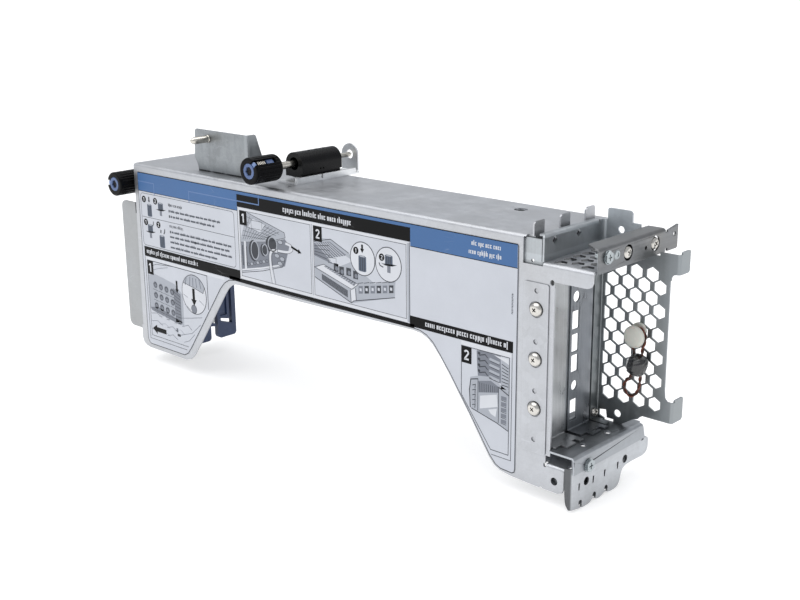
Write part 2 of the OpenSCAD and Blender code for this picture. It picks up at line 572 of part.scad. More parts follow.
// ------------------------------------------------- sleeve bracket and sleeve
module sleeve_bracket() {
  z0 = top_z + 0.02;
  bx = knob_b[0];
  color([0.7, 0.71, 0.72]) put() difference() {
    union() {
      // base, bend and rear lug as one bent section along the depth
      intersection() {
        translate([bx - 6.4, 0, 0]) yz(0, 14.8) {
          translate([14.4, z0]) square([49.6 - ro + t, 1.2]);
          translate([65 - ro, z0 + ro]) intersection() {
            difference() { circle(r = ro); circle(r = ri); }
            translate([0, -3]) square(3);
          }
          translate([65 - t, z0 + ro]) square([t, 14.6]);
        }
        union() {
          translate([bx - 10, 10, z0 - 1]) cube([20, 51, 10]);
          translate([bx - 10, 60, z0 - 1]) cube([20, 3.5, 10]);
          xz(60, 8) union() {
            translate([bx - 6.4, z0 - 1]) square([12.9, 11.4]);
            translate([bx, 12.4]) circle(r = 6.42);
          }
        }
      }
      // turned-up stiffening edge along the base
      translate([bx + 7.3, 14.4, z0]) cube([1.1, 46, 3.5]);
    }
    cyl_y(bx, 60, knob_b[2], 2.6, 8);
    // notch that parts the edge, and the rivet holes
    translate([bx + 6.6, 33.6, z0 + 1.2]) cube([3, 1.2, 3]);
    // near corner of the base is rounded
    xy(z0 - 1, 8) translate([bx + 8.4, 14.4]) difference() {
      translate([-2.4, -0.1]) square([2.5, 2.5]);
      translate([-2.4, 2.4]) circle(r = 2.4);
    }
    for (y = [30, 57]) cyl_z(bx - 1.6, y, z0 - 1, 1.15, 4);
  }
}
module bracket_rivets() {
  color([0.78, 0.78, 0.78]) put() for (y = [30, 57]) translate([knob_b[0] - 1.6, y, 0]) {
    translate([0, 0, top_z + 0.05]) cylinder(r = 1.1, h = 1.3);
    translate([0, 0, top_z + 1.25]) cylinder(r1 = 2.1, r2 = 1.6, h = 0.5);
  }
}
module guide_sleeve() {
  z0 = top_z + 2.9;
  r = 6.9;
  color([0.09, 0.09, 0.1]) put() difference() {
    xz(21, sleeve_len) difference() {
      union() {
        translate([knob_b[0], knob_b[2] - 0.6]) circle(r = r);
        translate([knob_b[0] - r, z0]) square([2 * r - 1.5, knob_b[2] - 0.6 - z0]);
        translate([knob_b[0] + 3, z0 + 2.1]) square([r - 3, knob_b[2] - 2.7 - z0]);
      }
    }
    // stepped bore for the shank and the rod
    cyl_y(knob_b[0], 20, knob_b[2], 3.6, 5.6);
    cyl_y(knob_b[0], 20, knob_b[2], shank_d / 2 + 0.06, 22);
    cyl_y(knob_b[0], 20, knob_b[2], rod_d / 2 + 0.06, 40);
    // grip notches along the ridge, small vents in the flank
    for (y = [31, 36.5, 42]) translate([knob_b[0] - 1.2, y, knob_b[2] + 5.6]) cube([2.6, 1.3, 3]);
    for (y = [34.6, 36.8]) cyl_x(knob_b[0] + 5.6, y, knob_b[2] - 3.6, 0.5, 3);
  }
}

// ---------------------------------------------------------------- thumbscrews
// black ribbed barrel with its face at y = 0, running to +y
module knob_barrel() {
  r = knob_d / 2;
  difference() {
    rotate([-90, 0, 0]) rotate_extrude() polygon([[0, 1.1], [4.3, 1.1], [4.3, 0], [r - 0.7, 0], [r - 0.2, 0.2], [r, 0.7],
      [r, knob_len - 1.4], [r - 0.9, knob_len - 0.3], [r - 1.8, knob_len], [0, knob_len]]);
    rotate([-90, 0, 0]) translate([0, 0, -1]) cylinder(r = shank_d / 2 + 0.02, h = knob_len + 3);
    // long grip flutes
    for (a = [0:20:340]) rotate([0, a, 0]) translate([r + 0.35, 1.4, 0]) rotate([-90, 0, 0]) cylinder(r = 0.75, h = knob_len - 3.2, $fn = 16);
    // long side window, down to the shank
    rotate([0, -46, 0]) translate([1, 2.6, -1.5]) cube([r, 14.2, 3]);
  }
}
// blue drive insert with a star recess
module knob_insert() {
  difference() {
    rotate([-90, 0, 0]) cylinder(r = 4.25, h = 1.05);
    for (a = [0:60:120]) rotate([0, a, 0]) translate([-2.7, -2, -0.5]) cube([5.4, 2.7, 1]);
    rotate([-90, 0, 0]) translate([0, 0, -2]) cylinder(r = 2.25, h = 4);
  }
}
module knob_a_barrel() color([0.08, 0.08, 0.09]) put() translate(knob_a) knob_barrel();
module knob_a_insert() color([0.4, 0.52, 0.74]) put() translate(knob_a) knob_insert();
module knob_b_barrel() color([0.08, 0.08, 0.09]) put() translate(knob_b) knob_barrel();
module knob_b_insert() color([0.4, 0.52, 0.74]) put() translate(knob_b) knob_insert();
module knob_a_shaft() {
  color([0.74, 0.73, 0.7]) put() translate(knob_a) rotate([-90, 0, 0]) rotate_extrude() polygon([[0, 1.2],
    [shank_d / 2, 1.2], [shank_d / 2, 43], [1.75, 44.2], [1.75, 53], [0.9, 54.4], [0, 54.4]]);
}
module knob_b_shaft() {
  color([0.78, 0.76, 0.72]) put() translate(knob_b) rotate([-90, 0, 0]) rotate_extrude() polygon([[0, 1.2],
    [shank_d / 2, 1.2], [shank_d / 2, 43.55], [rod_d / 2, 44.55], [rod_d / 2, 75.15], [0.6, 76.75], [0, 76.75]]);
}
module shaft_washer() rotate([-90, 0, 0]) difference() {
  translate([0, 0, knob_len + 0.1]) cylinder(r = 3.3, h = 0.9);
  cylinder(r = shank_d / 2 + 0.05, h = knob_len + 3);
}
module knob_a_washer() color([0.66, 0.66, 0.65]) put() translate(knob_a) shaft_washer();
module knob_b_washer() color([0.66, 0.66, 0.65]) put() translate(knob_b) shaft_washer();

// ------------------------------------------------------------- card clips
// a hanging blue plate in the YZ plane with an L-shaped slot
module card_clip(y0) {
  difference() {
    union() {
      yz(-271.6, 3.2) difference() {
        rrect(y0, -112.4, y0 + 14.8, -54, [3, 2.2, 1, 1]);
        translate([y0 + 9.6, -102]) square([2.0, 42]);
        polygon([[y0 + 2.6, -99.4], [y0 + 11.6, -101.6], [y0 + 11.6, -104.4], [y0 + 2.6, -101.2]]);
      }
      // head that snaps in the bracket's socket
      translate([-271.9, y0 + 1.6, -54.1]) cube([3.8, 11.4, 3.6]);
      translate([-273, y0 + 1.6, -50.9]) cube([6, 11.4, 1.6]);
    }
    translate([-269.4, y0 + 2.2, -98]) cube([2, 5.4, 36]);
    translate([-269.4, y0 + 3.2, -105.4]) cylinder(r = 0.6, h = 1.2);
  }
}
module card_clip_front() color([0.13, 0.2, 0.36]) put() {
  card_clip(15.6);
  // nose towards the rear clip
  yz(-271.6, 3.2) polygon([[29.6, -99.6], [34.4, -102.2], [34.4, -103.8], [29.6, -103]]);
}
module card_clip_rear() color([0.13, 0.2, 0.36]) put() card_clip(35.8);

// ------------------------------------------ button, bead and wire on the panel
module nylon_button() {
  color([0.78, 0.78, 0.74]) put() translate([33.2, 0, -48.2]) {
    translate([0, 40.6, 0]) rotate([-90, 0, 0]) rotate_extrude() polygon([[0, -1.1], [2.6, -1.0], [4.4, -0.6], [5.2, 0.1], [5.35, 0.9],
      [5.1, 1.6], [3, 2.1], [1.3, 2.2], [1.3, 5], [0, 5]]);
    translate([-0.3, 45.1, 2.0]) rotate([-90, 0, 0]) cylinder(r = 3.8, h = 1.5);
  }
}
module toggle_bead() {
  color([0.11, 0.11, 0.12]) put() translate([35.3, 41.7, -61.5]) difference() {
    rotate([0, 18, 0]) rotate_extrude() polygon([[0, -4.7], [2.9, -4.7], [4.1, -4.0], [4.7, -2.2], [4.85, 0], [4.7, 2.2], [4.1, 4.0], [2.9, 4.7], [0, 4.7]]);
    for (x = [-2.7, 1.2]) translate([x, 1.8, -9]) cylinder(r = 0.95, h = 18);
    // diagonal grooves
    for (k = [0, 1]) rotate([0, 44, 0]) translate([-4.5, -5.6, 0.9 + 2.3 * k]) cube([9, 2.2 - 0.5 * k, 0.9]);
    rotate([0, 30, 0]) translate([-6.6, -5.6, -2.9]) cube([4, 3, 0.8]);
  }
}
function vsub(a, b) = [a[0] - b[0], a[1] - b[1], a[2] - b[2]];
function unit(a) = a / norm(a);
wire_pts = [[36.5, 43.5, -61.5], [36.5, 43.5, -57], [36.8, 43.7, -53.5], [37.5, 43.8, -50.4], [37.7, 43.8, -48], [36.6, 43.8, -45.6],
  [34, 43.8, -44.4], [31.6, 43.8, -45.6], [30.7, 43.8, -49], [31.4, 43.7, -53], [32.4, 43.5, -57], [32.6, 43.5, -61.5], [32.5, 43.5, -66],
  [30.6, 44, -68.8], [28.4, 44.4, -71.2], [27, 44.8, -73.8], [27.1, 44.9, -76.4], [28.8, 44.9, -78.3], [31, 44.9, -78.7], [33.3, 44.8, -77.2],
  [34.9, 44.6, -74], [35.6, 44.2, -70.2], [36.4, 43.5, -66]];
module wire_loop() {
  n = len(wire_pts);
  s = 8;
  r = 0.7;
  fr = [for (i = [0:n - 1]) let (d = unit(vsub(wire_pts[(i + 1) % n], wire_pts[(i + n - 1) % n])), u = unit(cross(d, [0, 1, 0])), v = cross(u, d)) [u, v]];
  pts = [for (i = [0:n - 1]) for (k = [0:s - 1]) wire_pts[i] + r * (cos(360 * k / s) * fr[i][0] + sin(360 * k / s) * fr[i][1])];
  fc = [for (i = [0:n - 1]) for (k = [0:s - 1]) let (a = i * s + k, b = i * s + (k + 1) % s, c = ((i + 1) % n) * s + (k + 1) % s, d = ((i + 1) % n) * s + k) each [[a, c, b], [a, d, c]]];
  color([0.36, 0.2, 0.13]) put() polyhedron(points = pts, faces = fc, convexity = 8);
}

cage_shell();
instruction_label();
left_end_bracket();
window_frame();
front_strip();
strip_screws();
slot_cover_plain();
slot_cover_vented();
hex_side_panel();
side_panel_screw();
retention_rail();
rail_nut_bar();
rail_screws();
rail_rivet();
rail_end_screw();
hook_channel();
hook_plate();
hook_screw();
guide_tab();
guide_pin();
sleeve_bracket();
bracket_rivets();
guide_sleeve();
knob_a_barrel();
knob_a_insert();
knob_a_shaft();
knob_a_washer();
knob_b_barrel();
knob_b_insert();
knob_b_shaft();
knob_b_washer();
card_clip_front();
card_clip_rear();
nylon_button();
toggle_bead();
wire_loop();
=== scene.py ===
import bpy, bmesh, math, random
from mathutils import Vector, Matrix


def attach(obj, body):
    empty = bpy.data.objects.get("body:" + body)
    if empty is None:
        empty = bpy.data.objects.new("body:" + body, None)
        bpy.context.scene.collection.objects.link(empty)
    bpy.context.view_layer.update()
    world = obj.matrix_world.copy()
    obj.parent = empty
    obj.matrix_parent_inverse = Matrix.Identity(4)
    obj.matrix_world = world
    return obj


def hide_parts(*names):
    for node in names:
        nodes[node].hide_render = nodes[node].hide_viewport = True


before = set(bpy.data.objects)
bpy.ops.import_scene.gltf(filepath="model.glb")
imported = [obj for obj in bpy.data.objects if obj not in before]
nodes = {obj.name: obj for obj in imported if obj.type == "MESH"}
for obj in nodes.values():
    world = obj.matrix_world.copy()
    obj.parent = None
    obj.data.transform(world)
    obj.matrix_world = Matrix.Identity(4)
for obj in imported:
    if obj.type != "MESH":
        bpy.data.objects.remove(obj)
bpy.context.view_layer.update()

scene = bpy.context.scene
rng = random.Random(20)

# millimetres of the part's drawing frame to metres of the shared frame
ORG = (130.75, -26.825, 122.6)


def P(x, y, z):
    return Vector(((x + ORG[0]) / 1000, (y + ORG[1]) / 1000, (z + ORG[2]) / 1000))


# ------------------------------------------------------------------ materials
def srgb(h):
    h = h.lstrip("#")
    c = [int(h[i:i + 2], 16) / 255 for i in (0, 2, 4)]
    return tuple(x / 12.92 if x <= 0.04045 else ((x + 0.055) / 1.055) ** 2.4 for x in c) + (1.0,)


class Tree:
    """Small helper round a material's node tree."""

    def __init__(self, name):
        self.mat = bpy.data.materials.new(name)
        self.mat.use_nodes = True
        self.t = self.mat.node_tree
        self.t.nodes.clear()
        self.out = self.new("ShaderNodeOutputMaterial")
        self.bsdf = self.new("ShaderNodeBsdfPrincipled")
        self.link(self.bsdf.outputs[0], self.out.inputs[0])
        self.co = self.new("ShaderNodeTexCoord").outputs["Object"]

    def new(self, kind, **kw):
        n = self.t.nodes.new(kind)
        for k, v in kw.items():
            setattr(n, k, v)
        return n

    def link(self, a, b):
        self.t.links.new(a, b)

    def set(self, **kw):
        for k, v in kw.items():
            self.bsdf.inputs[k.replace("_", " ")].default_value = v

    def mapped(self, scale, rot=(0, 0, 0)):
        m = self.new("ShaderNodeMapping")
        m.inputs["Scale"].default_value = scale
        m.inputs["Rotation"].default_value = rot
        self.link(self.co, m.inputs["Vector"])
        return m.outputs[0]

    def noise(self, scale, detail=3.0, rough=0.55, vec=None, dist=0.0):
        n = self.new("ShaderNodeTexNoise")
        n.inputs["Scale"].default_value = scale
        n.inputs["Detail"].default_value = detail
        n.inputs["Roughness"].default_value = rough
        n.inputs["Distortion"].default_value = dist
        self.link(vec or self.co, n.inputs["Vector"])
        return n.outputs["Fac"]

    def cells(self, scale, feature="F1", vec=None, rand=1.0):
        n = self.new("ShaderNodeTexVoronoi", feature=feature)
        n.inputs["Scale"].default_value = scale
        n.inputs["Randomness"].default_value = rand
        self.link(vec or self.co, n.inputs["Vector"])
        return n

    def span(self, fac, a, b, lo, hi, clamp=True):
        n = self.new("ShaderNodeMapRange", clamp=clamp)
        for k, v in zip(("From Min", "From Max", "To Min", "To Max"), (a, b, lo, hi)):
            n.inputs[k].default_value = v
        self.link(fac, n.inputs["Value"])
        return n.outputs[0]

    def math(self, op, a, b=None, clamp=False):
        n = self.new("ShaderNodeMath", operation=op, use_clamp=clamp)
        for i, v in enumerate((a, b)):
            if v is None:
                continue
            if isinstance(v, (int, float)):
                n.inputs[i].default_value = v
            else:
                self.link(v, n.inputs[i])
        return n.outputs[0]

    def mix(self, fac, a, b, mode="MIX"):
        n = self.new("ShaderNodeMix", data_type="RGBA", blend_type=mode)
        if isinstance(fac, (int, float)):
            n.inputs[0].default_value = fac
        else:
            self.link(fac, n.inputs[0])
        for i, v in ((6, a), (7, b)):
            if isinstance(v, tuple):
                n.inputs[i].default_value = v
            else:
                self.link(v, n.inputs[i])
        return n.outputs[2]

    def bump(self, height, dist, strength=1.0, normal=None):
        n = self.new("ShaderNodeBump")
        n.inputs["Strength"].default_value = strength
        n.inputs["Distance"].default_value = dist
        self.link(height, n.inputs["Height"])
        if normal is not None:
            self.link(normal, n.inputs["Normal"])
        return n.outputs[0]

    def hollow(self, dist, samples=6):
        """1 in the open, towards 0 inside corners, holes and narrow gaps."""
        n = self.new("ShaderNodeAmbientOcclusion", samples=samples)
        n.inputs["Distance"].default_value = dist
        return n.outputs["AO"]

    def edges(self, radius, gain):
        """0 on flats, towards 1 on sharp edges."""
        bv = self.new("ShaderNodeBevel", samples=4)
        bv.inputs["Radius"].default_value = radius
        geo = self.new("ShaderNodeNewGeometry")
        d = self.new("ShaderNodeVectorMath", operation="DOT_PRODUCT")
        self.link(bv.outputs[0], d.inputs[0])
        self.link(geo.outputs["Normal"], d.inputs[1])
        return self.math("MULTIPLY", self.math("SUBTRACT", 1.0, d.outputs["Value"]), gain, clamp=True)


def axis_of(m, axis):
    s = m.new("ShaderNodeSeparateXYZ")
    m.link(m.co, s.inputs[0])
    return s.outputs[axis]


def facing(m, axis):
    g = m.new("ShaderNodeNewGeometry")
    s = m.new("ShaderNodeSeparateXYZ")
    m.link(g.outputs["True Normal"], s.inputs[0])
    return s.outputs[axis]


def mm(axis, v):
    return (v + ORG["XYZ".index(axis)]) / 1000


def scale_c(c, k):
    return tuple(min(1.0, x * k) for x in c[:3]) + (1.0,)


def steel(name, base, rough=0.36, spread=0.10, mottle=0.10, spangle=0.06, grain=(60, 60, 60), grain_amt=0.05,
          scratch=0.5, bump=0.00001, metallic=0.92, wear=0.35, cell=260, tint=0.0, aniso=0.0,
          crev=0.45, crev_d=0.012, shade=None):
    """Zinc-coated or bare sheet: soft mottling, faint spangle, rolled grain, hairline scratches, cut edges painted
    bright (partly wear, partly painted highlight) and painted shade in hollows.
    """
    c = srgb(base)
    m = Tree(name)
    soft = m.noise(70, 4, 0.6)
    fine = m.noise(1500, 3, 0.6)
    roll = m.noise(1.0, 4, 0.65, m.mapped(grain))
    vor = m.cells(cell)
    sep = m.new("ShaderNodeSeparateColor")
    m.link(vor.outputs["Color"], sep.inputs[0])
    spang = sep.outputs[0]
    # colour: base shaded by four scales of variation
    tone = m.math("ADD", m.span(soft, 0.3, 0.7, -mottle, mottle), m.span(spang, 0, 1, -spangle, spangle))
    tone = m.math("ADD", tone, m.span(roll, 0.3, 0.7, -grain_amt, grain_amt))
    tone = m.math("ADD", tone, m.span(fine, 0.3, 0.7, -0.035, 0.035))
    tone = m.math("ADD", tone, 1.0)
    lum = m.new("ShaderNodeCombineColor")
    for i in range(3):
        m.link(tone, lum.inputs[i])
    col = m.mix(1.0, c, lum.outputs[0], "MULTIPLY")
    warm = m.noise(28, 2, 0.5)
    col = m.mix(m.span(warm, 0.45, 0.75, 0.0, 0.10 + tint), col, scale_c(srgb("#9A9384"), 1.1))
    # hairline scratches, long thin cells seen only here and there
    scr = m.cells(1.0, "DISTANCE_TO_EDGE", m.mapped((40, 900, 260), (0.3, 0.5, 0.9)))
    line = m.span(scr.outputs["Distance"], 0.0, 0.03, 1.0, 0.0)
    where = m.span(m.noise(45, 3, 0.6), 0.56, 0.66, 0.0, 0.5 * scratch)
    sc = m.math("MULTIPLY", line, where)
    col = m.mix(sc, col, scale_c(c, 1.5))
    # cut edges painted lighter here and there: partly edge wear, partly painted highlight
    ed = m.edges(0.00035, 3.0)
    edge_wear_and_highlight = m.math("MULTIPLY", ed, m.span(m.noise(420, 3, 0.6), 0.35, 0.6, 0.25, wear + 0.25))
    col = m.mix(edge_wear_and_highlight, col, scale_c(c, 1.45))
    # painted shade: darker in corners, holes and behind other sheets, from ambient occlusion, varied a little by noise
    crevice_shade = m.span(m.hollow(crev_d), 0.25, 0.95, crev, 0.0)
    col = m.mix(m.math("MULTIPLY", crevice_shade, m.span(m.noise(160, 3, 0.6), 0.3, 0.7, 0.85, 1.15), clamp=True), col, scale_c(c, 0.10))
    if shade:
        col = shade(m, col, c)
    m.link(col, m.bsdf.inputs["Base Color"])
    r = m.math("ADD", m.span(soft, 0.3, 0.7, rough - spread * 0.5, rough + spread * 0.5),
               m.span(spang, 0, 1, -spread * 0.35, spread * 0.35))
    r = m.math("SUBTRACT", r, m.math("MULTIPLY", sc, 0.12))
    m.link(m.math("ADD", r, m.span(roll, 0.3, 0.7, -0.03, 0.03), clamp=True), m.bsdf.inputs["Roughness"])
    h = m.math("ADD", m.math("MULTIPLY", roll, 0.5), m.math("MULTIPLY", fine, 0.35))
    h = m.math("SUBTRACT", h, m.math("MULTIPLY", sc, 0.8))
    m.link(m.bump(h, bump, 0.8), m.bsdf.inputs["Normal"])
    m.set(Metallic=metallic)
    if aniso:
        m.set(Anisotropic=aniso)
    return m.mat


def plastic(name, base, rough=0.4, grain=900, bump=0.00002, wear=0.3, light="#8a8a8a", coat=0.0, spec=0.5, mottle=0.12, sss=0.0):
    """Moulded plastic: fine spark-eroded grain, soft tone variation, rubbed lighter along edges."""
    c = srgb(base)
    m = Tree(name)
    soft = m.noise(90, 3, 0.55)
    fine = m.noise(grain, 3, 0.6)
    scuff = m.noise(1.0, 4, 0.7, m.mapped((240, 900, 240), (0.4, 0.2, 0.7)))
    col = m.mix(m.span(soft, 0.3, 0.7, 0, 1), scale_c(c, 1 - mottle), scale_c(c, 1 + mottle))
    dust = m.math("MULTIPLY", m.span(scuff, 0.56, 0.74, 0, 0.22), m.span(soft, 0.4, 0.6, 0.3, 1.0))
    col = m.mix(dust, col, srgb(light))
    edge_wear_and_highlight = m.math("MULTIPLY", m.edges(0.0004, 2.5), m.span(m.noise(600, 2, 0.6), 0.4, 0.6, 0.1, wear))
    col = m.mix(edge_wear_and_highlight, col, srgb(light))
    m.link(col, m.bsdf.inputs["Base Color"])
    rr = m.math("ADD", m.span(fine, 0.3, 0.7, rough - 0.06, rough + 0.06), m.math("MULTIPLY", dust, 0.5), clamp=True)
    m.link(rr, m.bsdf.inputs["Roughness"])
    m.link(m.bump(m.math("ADD", fine, m.math("MULTIPLY", scuff, 0.4)), bump, 0.6), m.bsdf.inputs["Normal"])
    m.set(IOR=1.5, Coat_Weight=coat, Specular_IOR_Level=spec)
    if sss:
        m.set(Subsurface_Weight=sss, Subsurface_Scale=0.002)
    return m.mat


def printed(name, base, rough=0.38, spec=0.25):
    """Ink on a laminated film: slight press mottle, halftone tooth and a soft orange peel of the laminate."""
    c = srgb(base)
    m = Tree(name)
    soft = m.noise(55, 3, 0.5)
    tooth = m.noise(2600, 2, 0.5)
    col = m.mix(m.span(soft, 0.3, 0.7, 0, 1), scale_c(c, 0.965), scale_c(c, 1.03))
    col = m.mix(m.span(tooth, 0.35, 0.65, 0, 0.10), col, scale_c(c, 1.12))
    rub = m.cells(1.0, "DISTANCE_TO_EDGE", m.mapped((70, 500, 420), (0.2, 0.3, 0.5)))
    rl = m.math("MULTIPLY", m.span(rub.outputs["Distance"], 0, 0.02, 1, 0), m.span(m.noise(60, 2), 0.58, 0.7, 0, 0.12))
    col = m.mix(rl, col, srgb("#C9CBD0"))
    m.link(col, m.bsdf.inputs["Base Color"])
    m.link(m.span(soft, 0.3, 0.7, rough - 0.05, rough + 0.07), m.bsdf.inputs["Roughness"])
    m.link(m.bump(m.noise(320, 2, 0.5), 0.000012, 0.5), m.bsdf.inputs["Normal"])
    m.set(IOR=1.48, Specular_IOR_Level=spec)
    return m.mat


def relief(m, col, c):
    """What the round relief at the shelf's corner uncovers lies in its own shade."""
    dx = m.math("SUBTRACT", axis_of(m, "X"), mm("X", 15.9))
    dz = m.math("SUBTRACT", axis_of(m, "Z"), mm("Z", -16.9))
    d = m.math("SQRT", m.math("ADD", m.math("MULTIPLY", dx, dx), m.math("MULTIPLY", dz, dz)))
    k = m.math("MULTIPLY", m.span(d, 0.0024, 0.0030, 0.92, 0.0), m.span(axis_of(m, "Y"), mm("Y", 0.75), mm("Y", 0.95), 0.0, 1.0))
    return m.mix(k, col, scale_c(c, 0.03))


def shade_shelf(m, col, c):
    """Painted shade: the sheared walls of the holes in the shelf and top panel are painted dark."""
    side = m.span(m.math("ABSOLUTE", facing(m, "Z")), 0.3, 0.6, 1.0, 0.0)
    inx = m.span(axis_of(m, "X"), mm("X", 11.5), mm("X", 12.0), 0.0, 1.0)
    z = axis_of(m, "Z")
    inz = m.math("MULTIPLY", m.span(z, mm("Z", -9.7), mm("Z", -9.6), 0.0, 1.0), m.span(z, mm("Z", -8.6), mm("Z", -8.5), 1.0, 0.0))
    iny = m.span(axis_of(m, "Y"), mm("Y", 1.9), mm("Y", 2.2), 0.0, 1.0)
    k = m.math("MULTIPLY", m.math("MULTIPLY", side, inx), m.math("MULTIPLY", inz, iny))
    col = m.mix(m.math("MULTIPLY", k, 0.85), col, scale_c(c, 0.16))
    # the inner side of the rear flange only shows through the front's openings, unlit
    back = m.math("MULTIPLY", m.span(facing(m, "Y"), -0.5, -0.8, 0.0, 1.0), m.span(axis_of(m, "Y"), mm("Y", 54.0), mm("Y", 54.6), 0.0, 0.9))
    col = m.mix(back, col, scale_c(c, 0.03))
    # painted light: the ledge over the lower tab is painted bright, lifting it out of its shade
    ledge = m.math("MULTIPLY", m.span(z, mm("Z", -103.9), mm("Z", -103.6), 0.0, 0.9), m.span(z, mm("Z", -102.0), mm("Z", -101.6), 1.0, 0.0))
    ledge = m.math("MULTIPLY", ledge, m.span(facing(m, "Z"), 0.5, 0.8, 0.0, 1.0))
    col = m.mix(ledge, col, scale_c(c, 1.5))
    return relief(m, col, c)


def shade_floor(m, col, c):
    """Painted shade: the channel's floor is painted darker where the covers stand and less so along its bend; its faces
    towards +X are painted darker too.
    """
    up = m.span(facing(m, "Z"), 0.5, 0.9, 0.0, 1.0)
    x = axis_of(m, "X")
    k = m.math("MULTIPLY", up, m.span(x, mm("X", 22.5), mm("X", 27.0), 0.62, 0.25))
    k = m.math("MULTIPLY", k, m.span(x, mm("X", 29.9), mm("X", 30.4), 1.0, 0.0))
    col = m.mix(k, col, scale_c(c, 0.12))
    face = m.span(facing(m, "X"), 0.6, 0.9, 0.0, 0.22)
    return m.mix(face, col, scale_c(c, 0.12))


def shade_hook(m, col, c):
    """The hook plate's near flange stands in the shade of the front."""
    k = m.math("MULTIPLY", m.span(facing(m, "Y"), -0.5, -0.8, 0.0, 1.0), m.span(axis_of(m, "X"), mm("X", 29.8), mm("X", 30.8), 0.85, 0.0))
    return m.mix(k, col, scale_c(c, 0.12))


def shade_tab(m, col, c):
    """A painted shadow along the tab's foot, a painted highlight on its rolled bend, painted light on its side towards
    +X, and blotchy coating.
    """
    z = axis_of(m, "Z")
    # painted shadow: a dark line along the tab's foot
    foot = m.math("MULTIPLY", m.span(z, mm("Z", TAB_Z + 0.75), mm("Z", TAB_Z + 0.95), 0.9, 0.0), m.span(facing(m, "Y"), -0.3, -0.7, 0.0, 1.0))
    col = m.mix(foot, col, scale_c(c, 0.04))
    x = axis_of(m, "X")
    # painted highlight on the rolled bend
    bend = m.math("MULTIPLY", m.span(x, mm("X", -203.6), mm("X", -202.2), 0.0, 0.5), m.span(x, mm("X", -201.2), mm("X", -200.6), 1.0, 0.0))
    col = m.mix(bend, col, scale_c(c, 1.35))
    # painted light: the side facing +X is lighter
    side = m.span(facing(m, "X"), 0.5, 0.8, 0.0, 0.45)
    col = m.mix(side, col, scale_c(c, 1.5))
    blot = m.span(m.noise(190, 4, 0.7), 0.5, 0.68, 0.0, 0.35)
    return m.mix(blot, col, scale_c(c, 1.3))


def shade_panel(m, col, c):
    """The arms beyond the punched field are lighter where they turn to the light."""
    k = m.span(axis_of(m, "X"), mm("X", 44.0), mm("X", 47.0), 0.0, 0.4)
    return m.mix(k, col, scale_c(c, 1.3))


def shade_cover(m, col, c):
    """The plain cover's top corner is shaded by the front panel."""
    k = m.math("MULTIPLY", m.span(axis_of(m, "Y"), mm("Y", 7.4), mm("Y", 8.2), 0.92, 0.0), m.span(axis_of(m, "Z"), mm("Z", -21.6), mm("Z", -21.0), 0.0, 1.0))
    return m.mix(k, col, scale_c(c, 0.04))


def shade_wall(m, col, c):
    """The window plate is lighter towards the foot of its part above the shelf."""
    z = axis_of(m, "Z")
    k = m.math("MULTIPLY", m.span(z, mm("Z", -5.9), mm("Z", -5.3), 0.28, 0.0), m.span(z, mm("Z", -9.0), mm("Z", -8.7), 0.0, 1.0))
    col = m.mix(k, col, scale_c(c, 1.5))
    # painted light: the rear part above the shelf, which lies in shade, is painted lighter
    rear = m.math("MULTIPLY", m.span(axis_of(m, "Y"), mm("Y", 44.0), mm("Y", 46.0), 0.0, 0.5), m.span(z, mm("Z", -9.0), mm("Z", -8.5), 0.0, 1.0))
    col = m.mix(rear, col, scale_c(c, 1.6))
    return relief(m, col, c)


TAB_Z = 2.52

M = {}
M["cage"] = steel("zinc_sheet_cage", "#BCBEC2", rough=0.40, spread=0.09, mottle=0.05, spangle=0.035, grain=(18, 900, 900), grain_amt=0.03, shade=shade_shelf)
M["bracket"] = steel("zinc_sheet_bracket", "#A6A8AA", rough=0.42, mottle=0.06, spangle=0.04, grain=(700, 700, 20), grain_amt=0.04)
# painted light: the sleeve bracket's sheet is set much lighter than the others so its upturned edge reads bright
M["carrier"] = steel("zinc_sheet_carrier", "#DCDEE0", rough=0.38, mottle=0.06, spangle=0.04, grain=(700, 20, 700), grain_amt=0.04, crev=0.08)
M["frame"] = steel("zinc_sheet_frame", "#AEB3B7", rough=0.40, mottle=0.09, spangle=0.05, grain=(700, 700, 16), grain_amt=0.06, crev=0.6, shade=shade_wall)
M["tab"] = steel("zinc_sheet_tab", "#94989B", rough=0.42, mottle=0.13, spangle=0.07, grain=(500, 500, 30), grain_amt=0.06, wear=0.6, shade=shade_tab)
M["strip"] = steel("zinc_strip", "#BABCC0", rough=0.42, mottle=0.07, spangle=0.05, grain=(500, 500, 16), grain_amt=0.04)
# painted shade: the vented cover's base is set darker, standing in for the shade it lies in
M["cover"] = steel("plated_cover", "#8A8E94", rough=0.34, spread=0.12, mottle=0.10, spangle=0.03, grain=(900, 900, 14), grain_amt=0.10)
# painted light: the plain cover is a lighter copy of the same plated sheet
M["cover2"] = steel("plated_cover_plain", "#B4B6B8", rough=0.34, spread=0.12, mottle=0.10, spangle=0.03, grain=(900, 900, 14), grain_amt=0.10, shade=shade_cover)
